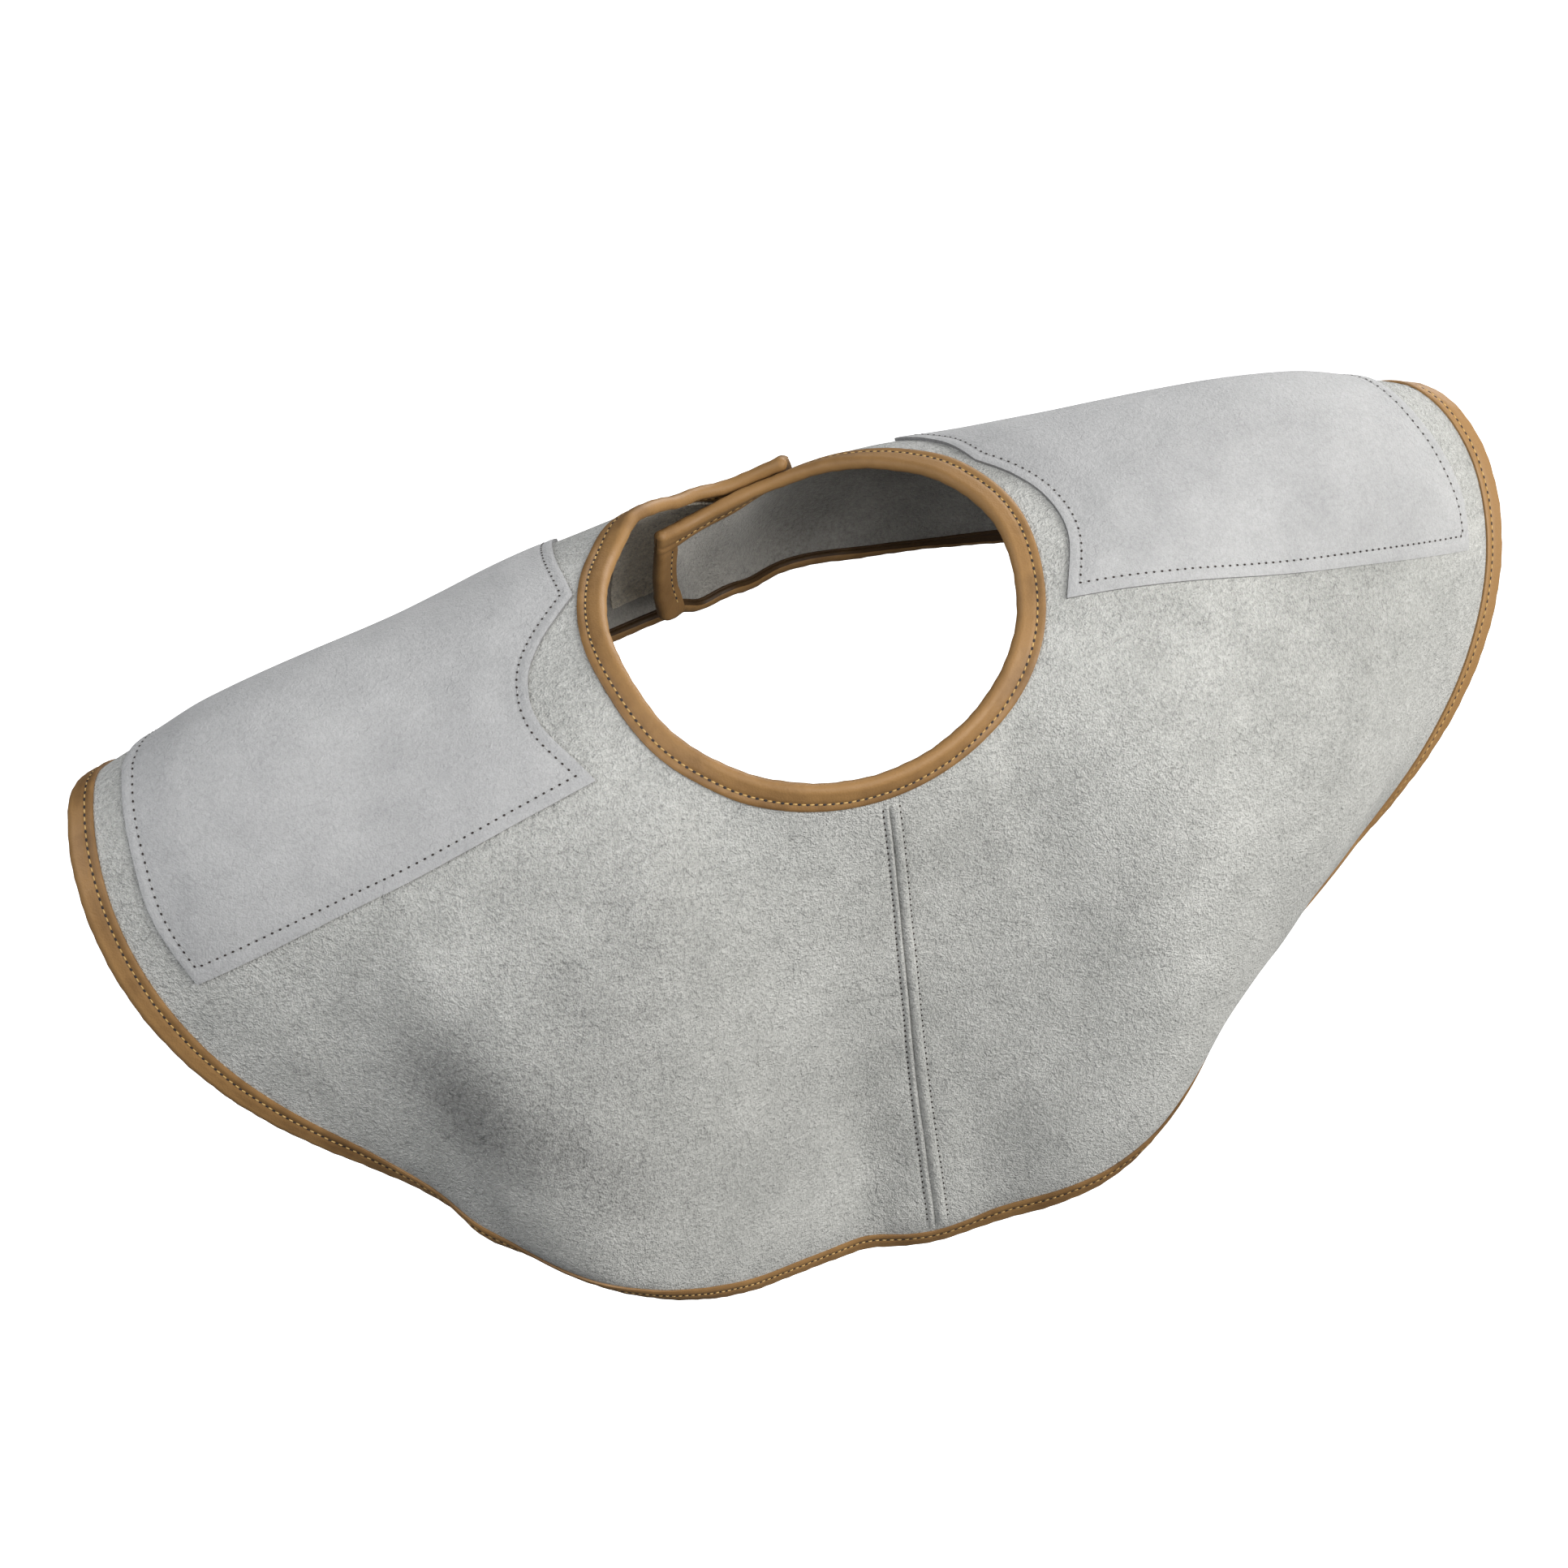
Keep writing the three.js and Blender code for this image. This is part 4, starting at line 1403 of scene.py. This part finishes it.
@dataclass
class ShoulderPad:
    """Lightly filled suede pad over one shoulder, with its stitch row."""

    drape: Drape
    finishes: Finishes
    side: Side
    cells: tuple[int, int] = (132, 104)
    front_share: float = 0.52
    bottom: float = 1.05
    edge: float = 1.35
    edge_least: float = 0.85
    edge_reach: float = 1.2
    trough: float = 0.3
    trough_reach: float = 1.0
    fill: float = 1.2
    fill_reach: float = 16.0
    outline_points: int = 260
    outline_batch: int = 130
    stitch_inset: float = 3.9
    stitch_slack: float = 0.08
    stitch_points: int = 400

    def pattern(self, along: np.ndarray, across: np.ndarray) -> np.ndarray:
        """Points of the pad on the flat pattern.

        Args:
            along: Fractions from the neck end to the arm end.
            across: Fractions from the front edge to the back edge.

        Returns:
            Sideways and backward distances.
        """
        share, form, ends = self.front_share, PADS[self.side], []
        for fields in (slice(0, 2), slice(2, 4)):
            front, back = (
                np.array([row[fields] for row in rows], float) for rows in (form.front, form.back)
            )
            forward = catmull(front, across / share)
            behind = catmull(back, (across - share) / (1.0 - share))
            ends.append(np.where((across <= share)[..., None], forward, behind))
        flat = ends[0] + (ends[1] - ends[0]) * along[..., None]
        bow = form.bow * 4 * along * (1 - along) * np.clip(1 - across / share, 0, 1)
        return flat - np.stack([np.zeros_like(bow), bow], -1)

    def outline(self, count: int) -> np.ndarray:
        """Closed outline of the pad on the flat pattern.

        Args:
            count: Points on each of its four edges.

        Returns:
            Sideways and backward distances.
        """
        t = np.linspace(0.0, 1.0, count, endpoint=False)
        none, full = np.zeros_like(t), np.ones_like(t)
        runs = [(t, none), (full, t), (1 - t, full), (none, 1 - t)]
        return np.vstack([self.pattern(along, across) for along, across in runs])

    def inset(self, flat: np.ndarray) -> np.ndarray:
        """Distance of pattern points from the pad's outline.

        Args:
            flat: Sideways and backward distances.

        Returns:
            Millimetres to the nearest point of the outline.
        """
        line = self.outline(self.outline_points)
        ways = np.roll(line, -1, axis=0) - line
        squares = np.maximum((ways**2).sum(-1), TINY)
        nearest = np.full(len(flat), np.inf)
        for begin in range(0, len(line), self.outline_batch):
            part = slice(begin, begin + self.outline_batch)
            off = flat[:, None, :] - line[None, part]
            t = np.clip((off * ways[part]).sum(-1) / squares[part], 0.0, 1.0)
            gap = np.linalg.norm(off - t[..., None] * ways[part], axis=-1).min(1)
            nearest = np.minimum(nearest, gap)
        return nearest

    def height(self, inset: np.ndarray) -> np.ndarray:
        """The top of the pad: a round edge, a sewn trough and the crowned fill.

        Args:
            inset: Distance from the pad's outline.

        Returns:
            Height over the middle of the wall.
        """
        edge_rise = (1.0 - self.edge_least) * ease(inset / self.edge_reach)
        rim = self.edge * (self.edge_least + edge_rise)
        trough = self.trough * hump(inset, self.stitch_inset, self.trough_reach)
        crown = self.fill * ease((inset - self.stitch_inset) / self.fill_reach)
        return self.bottom + rim - trough + crown

    def build(self) -> None:
        """Builds the pad and its stitches."""
        columns, rows = self.cells

        def place(column: np.ndarray, row: np.ndarray, layer: int) -> np.ndarray:
            """Places the pad.

            Args:
                column: Column numbers.
                row: Row numbers.
                layer: 1 outside, 0 inside.

            Returns:
                Points in millimetres.
            """
            flat = self.pattern(column / columns, row / rows)
            angle, distance = self.drape.from_pattern(flat, self.side)
            top = self.height(self.inset(flat)) if layer else np.full(len(flat), self.bottom)
            return self.drape.offset(angle, distance, top)

        label = f"{self.side.name.lower()}_shoulder_pad"
        # Cut edges and underside take the dark grey of a painted shadow line.
        materials = self.finishes.take(Look.PAD, Look.PAD_EDGE, Look.PAD_EDGE)
        pad = bent_sheet(f"{label}_suede", columns, rows, place, materials)
        enter(pad, "grey_suede", label)
        threads = self.finishes.take(Look.GREY_THREAD, Look.HOLE)
        PAD_STITCHES.build(f"{label}_stitches", "grey_suede", [self.stitch_row()], threads)

    def stitch_row(self) -> Row:
        """Closed stitch row that follows the outline.

        Returns:
            Points and outward directions of the row.
        """
        line = self.outline(self.stitch_points)
        way = unit(np.roll(line, -1, axis=0) - np.roll(line, 1, axis=0))
        moved = line + np.stack([-way[:, 1], way[:, 0]], -1) * self.stitch_inset
        moved = moved[self.inset(moved) > self.stitch_inset - self.stitch_slack]
        angle, distance = self.drape.from_pattern(np.vstack([moved, moved[:1]]), self.side)
        top = np.full(len(angle), float(self.height(np.array(self.stitch_inset))))
        return self.drape.offset(angle, distance, top), self.drape.frame(angle, distance)[2]


@dataclass
class Tape:
    """Half of the back closure: hooks inside the left tab or loops outside the right end."""

    drape: Drape
    finishes: Finishes
    side: Side
    first: float
    last: float
    inset: float
    near: float = 1.05
    far: float = 2.3
    rough: float = 0.25
    seed: int = 7
    cells: int = 40

    def build(self) -> None:
        """Builds the tape with a rough brushed face."""
        rng = np.random.default_rng(self.seed)
        rough = rng.uniform(-self.rough, self.rough, (self.cells + 1, self.cells + 1))

        def place(column: np.ndarray, row: np.ndarray, layer: int) -> np.ndarray:
            """Places the tape.

            Args:
                column: Column numbers.
                row: Row numbers.
                layer: 1 on the rough face, 0 on the back.

            Returns:
                Points in millimetres.
            """
            angle = self.first + (self.last - self.first) * column / self.cells
            width = self.drape.hem(angle) - 2 * self.inset
            distance = self.inset + width * row / self.cells
            height = self.far + rough[column, row] if layer else np.full(len(row), self.near)
            return self.drape.offset(angle, distance, self.side.value * height)

        hooks = self.side is Side.LEFT
        name, look = ("hook_tape", Look.HOOK) if hooks else ("loop_tape", Look.LOOP)
        cloth = self.finishes.take(look)
        tape = bent_sheet(f"{name}_cloth", self.cells, self.cells, place, cloth)
        enter(tape, "tape_cloth", name)


class Lamp(NamedTuple):
    """Soft square lamp: where it stands in degrees, its watts and its colour."""

    name: str
    azimuth: float
    elevation: float
    power: float
    colour: Colour

    def add(self, target: Vector, distance: float, size: float) -> None:
        """Adds the lamp, pointed at the vest.

        Args:
            target: Point that it shines on.
            distance: Metres from the target.
            size: Metres along each side.
        """
        way = direction(self.azimuth, self.elevation)
        data = bpy.data.lights.new(self.name, "AREA")
        data.size, data.energy, data.color = size, self.power, self.colour
        lamp = bpy.data.objects.new(self.name, data)
        lamp.location = target + way * distance
        lamp.rotation_euler = way.to_track_quat("Z", "Y").to_euler()
        bpy.context.scene.collection.objects.link(lamp)


LAMPS = (
    Lamp("key", 50.0, 20.0, 22.4, (1.0, 0.99, 0.96)),
    Lamp("front", 20.0, 45.0, 12.8, (1.0, 0.99, 0.97)),
    Lamp("left", -75.0, 45.0, 12.5, (0.95, 0.97, 1.0)),
    Lamp("behind", 130.0, 20.0, 20.4, (1.0, 1.0, 1.0)),
)


@dataclass
class Studio:
    """Plain pale floor, soft light and the camera."""

    azimuth: float = -18.96
    elevation: float = 46.79
    distance: float = 1.4863
    roll: float = -4.56
    target: tuple[float, float, float] = (0.0, 0.0, -0.1294)
    lens: float = 92.6
    shift: tuple[float, float] = (-0.0086, 0.0063)
    lamp_distance: float = 1.6
    lamp_size: float = 1.0
    floor_size: float = 6.0
    floor_drop: float = 1.7
    floor_glow: float = 1.2
    floor_tone: Colour = (0.9, 0.9, 0.9)
    floor_roughness: float = 0.9
    sky: float = 0.12

    def camera(self) -> None:
        """Places the camera at the photograph's angle."""
        a, r = math.radians(self.azimuth), math.radians(self.roll)
        back = direction(self.azimuth, self.elevation)
        right = Vector((math.cos(a), math.sin(a), 0.0))
        up = back.cross(right)
        level, rise = right * math.cos(r) + up * math.sin(r), up * math.cos(r) - right * math.sin(r)
        data = bpy.data.cameras.new("camera")
        data.lens = self.lens
        data.shift_x, data.shift_y = self.shift
        camera = bpy.data.objects.new("camera", data)
        turn = Matrix((level, rise, back)).transposed().to_4x4()
        place = Vector(self.target) + back * self.distance
        camera.matrix_world = Matrix.Translation(place) @ turn
        bpy.context.scene.collection.objects.link(camera)
        bpy.context.scene.camera = camera

    def floor(self) -> None:
        """Builds the floor, which glows and is seen by the camera only."""
        bm = bmesh.new()
        bmesh.ops.create_grid(bm, x_segments=2, y_segments=2, size=self.floor_size)
        drop = (0.0, 0.0, CAD_BOX[0][2] - self.floor_drop)
        bmesh.ops.translate(bm, verts=bm.verts[:], vec=drop)
        paper = bpy.data.materials.new("floor_paper")
        paper.use_nodes = True
        sockets = paper.node_tree.nodes["Principled BSDF"].inputs
        sockets["Base Color"].default_value = (*self.floor_tone, 1.0)
        sockets["Roughness"].default_value = self.floor_roughness
        sockets["Emission Color"].default_value = WHITE
        sockets["Emission Strength"].default_value = self.floor_glow
        floor = finish_mesh("floor", bm, (paper,))
        floor.visible_diffuse = floor.visible_glossy = False

    def backdrop(self) -> None:
        """Builds the world: a weak sky that looks as bright as the floor to the camera."""
        world = bpy.data.worlds.new("studio")
        world.use_nodes = True
        graph = Graph(world.node_tree)
        seen = graph.add("LightPath").outputs["Is Camera Ray"]
        strength = graph.math("MULTIPLY_ADD", seen, self.floor_glow, self.sky)
        sockets = graph.tree.nodes["Background"].inputs
        sockets["Color"].default_value = WHITE
        graph.tree.links.new(strength, sockets["Strength"])
        bpy.context.scene.world = world

    def build(self) -> None:
        """Builds the floor, the lights and the camera."""
        self.floor()
        self.backdrop()
        for lamp in LAMPS:
            lamp.add(Vector(self.target), self.lamp_distance, self.lamp_size)
        bpy.context.scene.view_settings.view_transform = "Standard"
        self.camera()


def main() -> None:
    """Builds the vest piece by piece, then the studio."""
    logging.basicConfig(level=logging.INFO, format="%(name)s: %(message)s")
    drape, finishes = Drape(), Finishes()
    panels = (Panel(drape, finishes, Side.LEFT), Panel(drape, finishes, Side.RIGHT))
    pieces = [
        *panels,
        FrontSeam(panels),
        *(ShoulderPad(drape, finishes, side) for side in Side),
        Binding(drape, finishes, Edge.NECK, end_turn=3.0),
        Binding(drape, finishes, Edge.HEM, end_turn=1.0),
        *(EndBinding(drape, finishes, side) for side in Side),
        Tape(drape, finishes, Side.LEFT, first=-150.0, last=-194.5, inset=9.5),
        Tape(drape, finishes, Side.RIGHT, first=170.0, last=204.0, inset=11.0),
    ]
    for piece in pieces:
        piece.build()
    Studio().build()


if __name__ == "__main__":
    main()
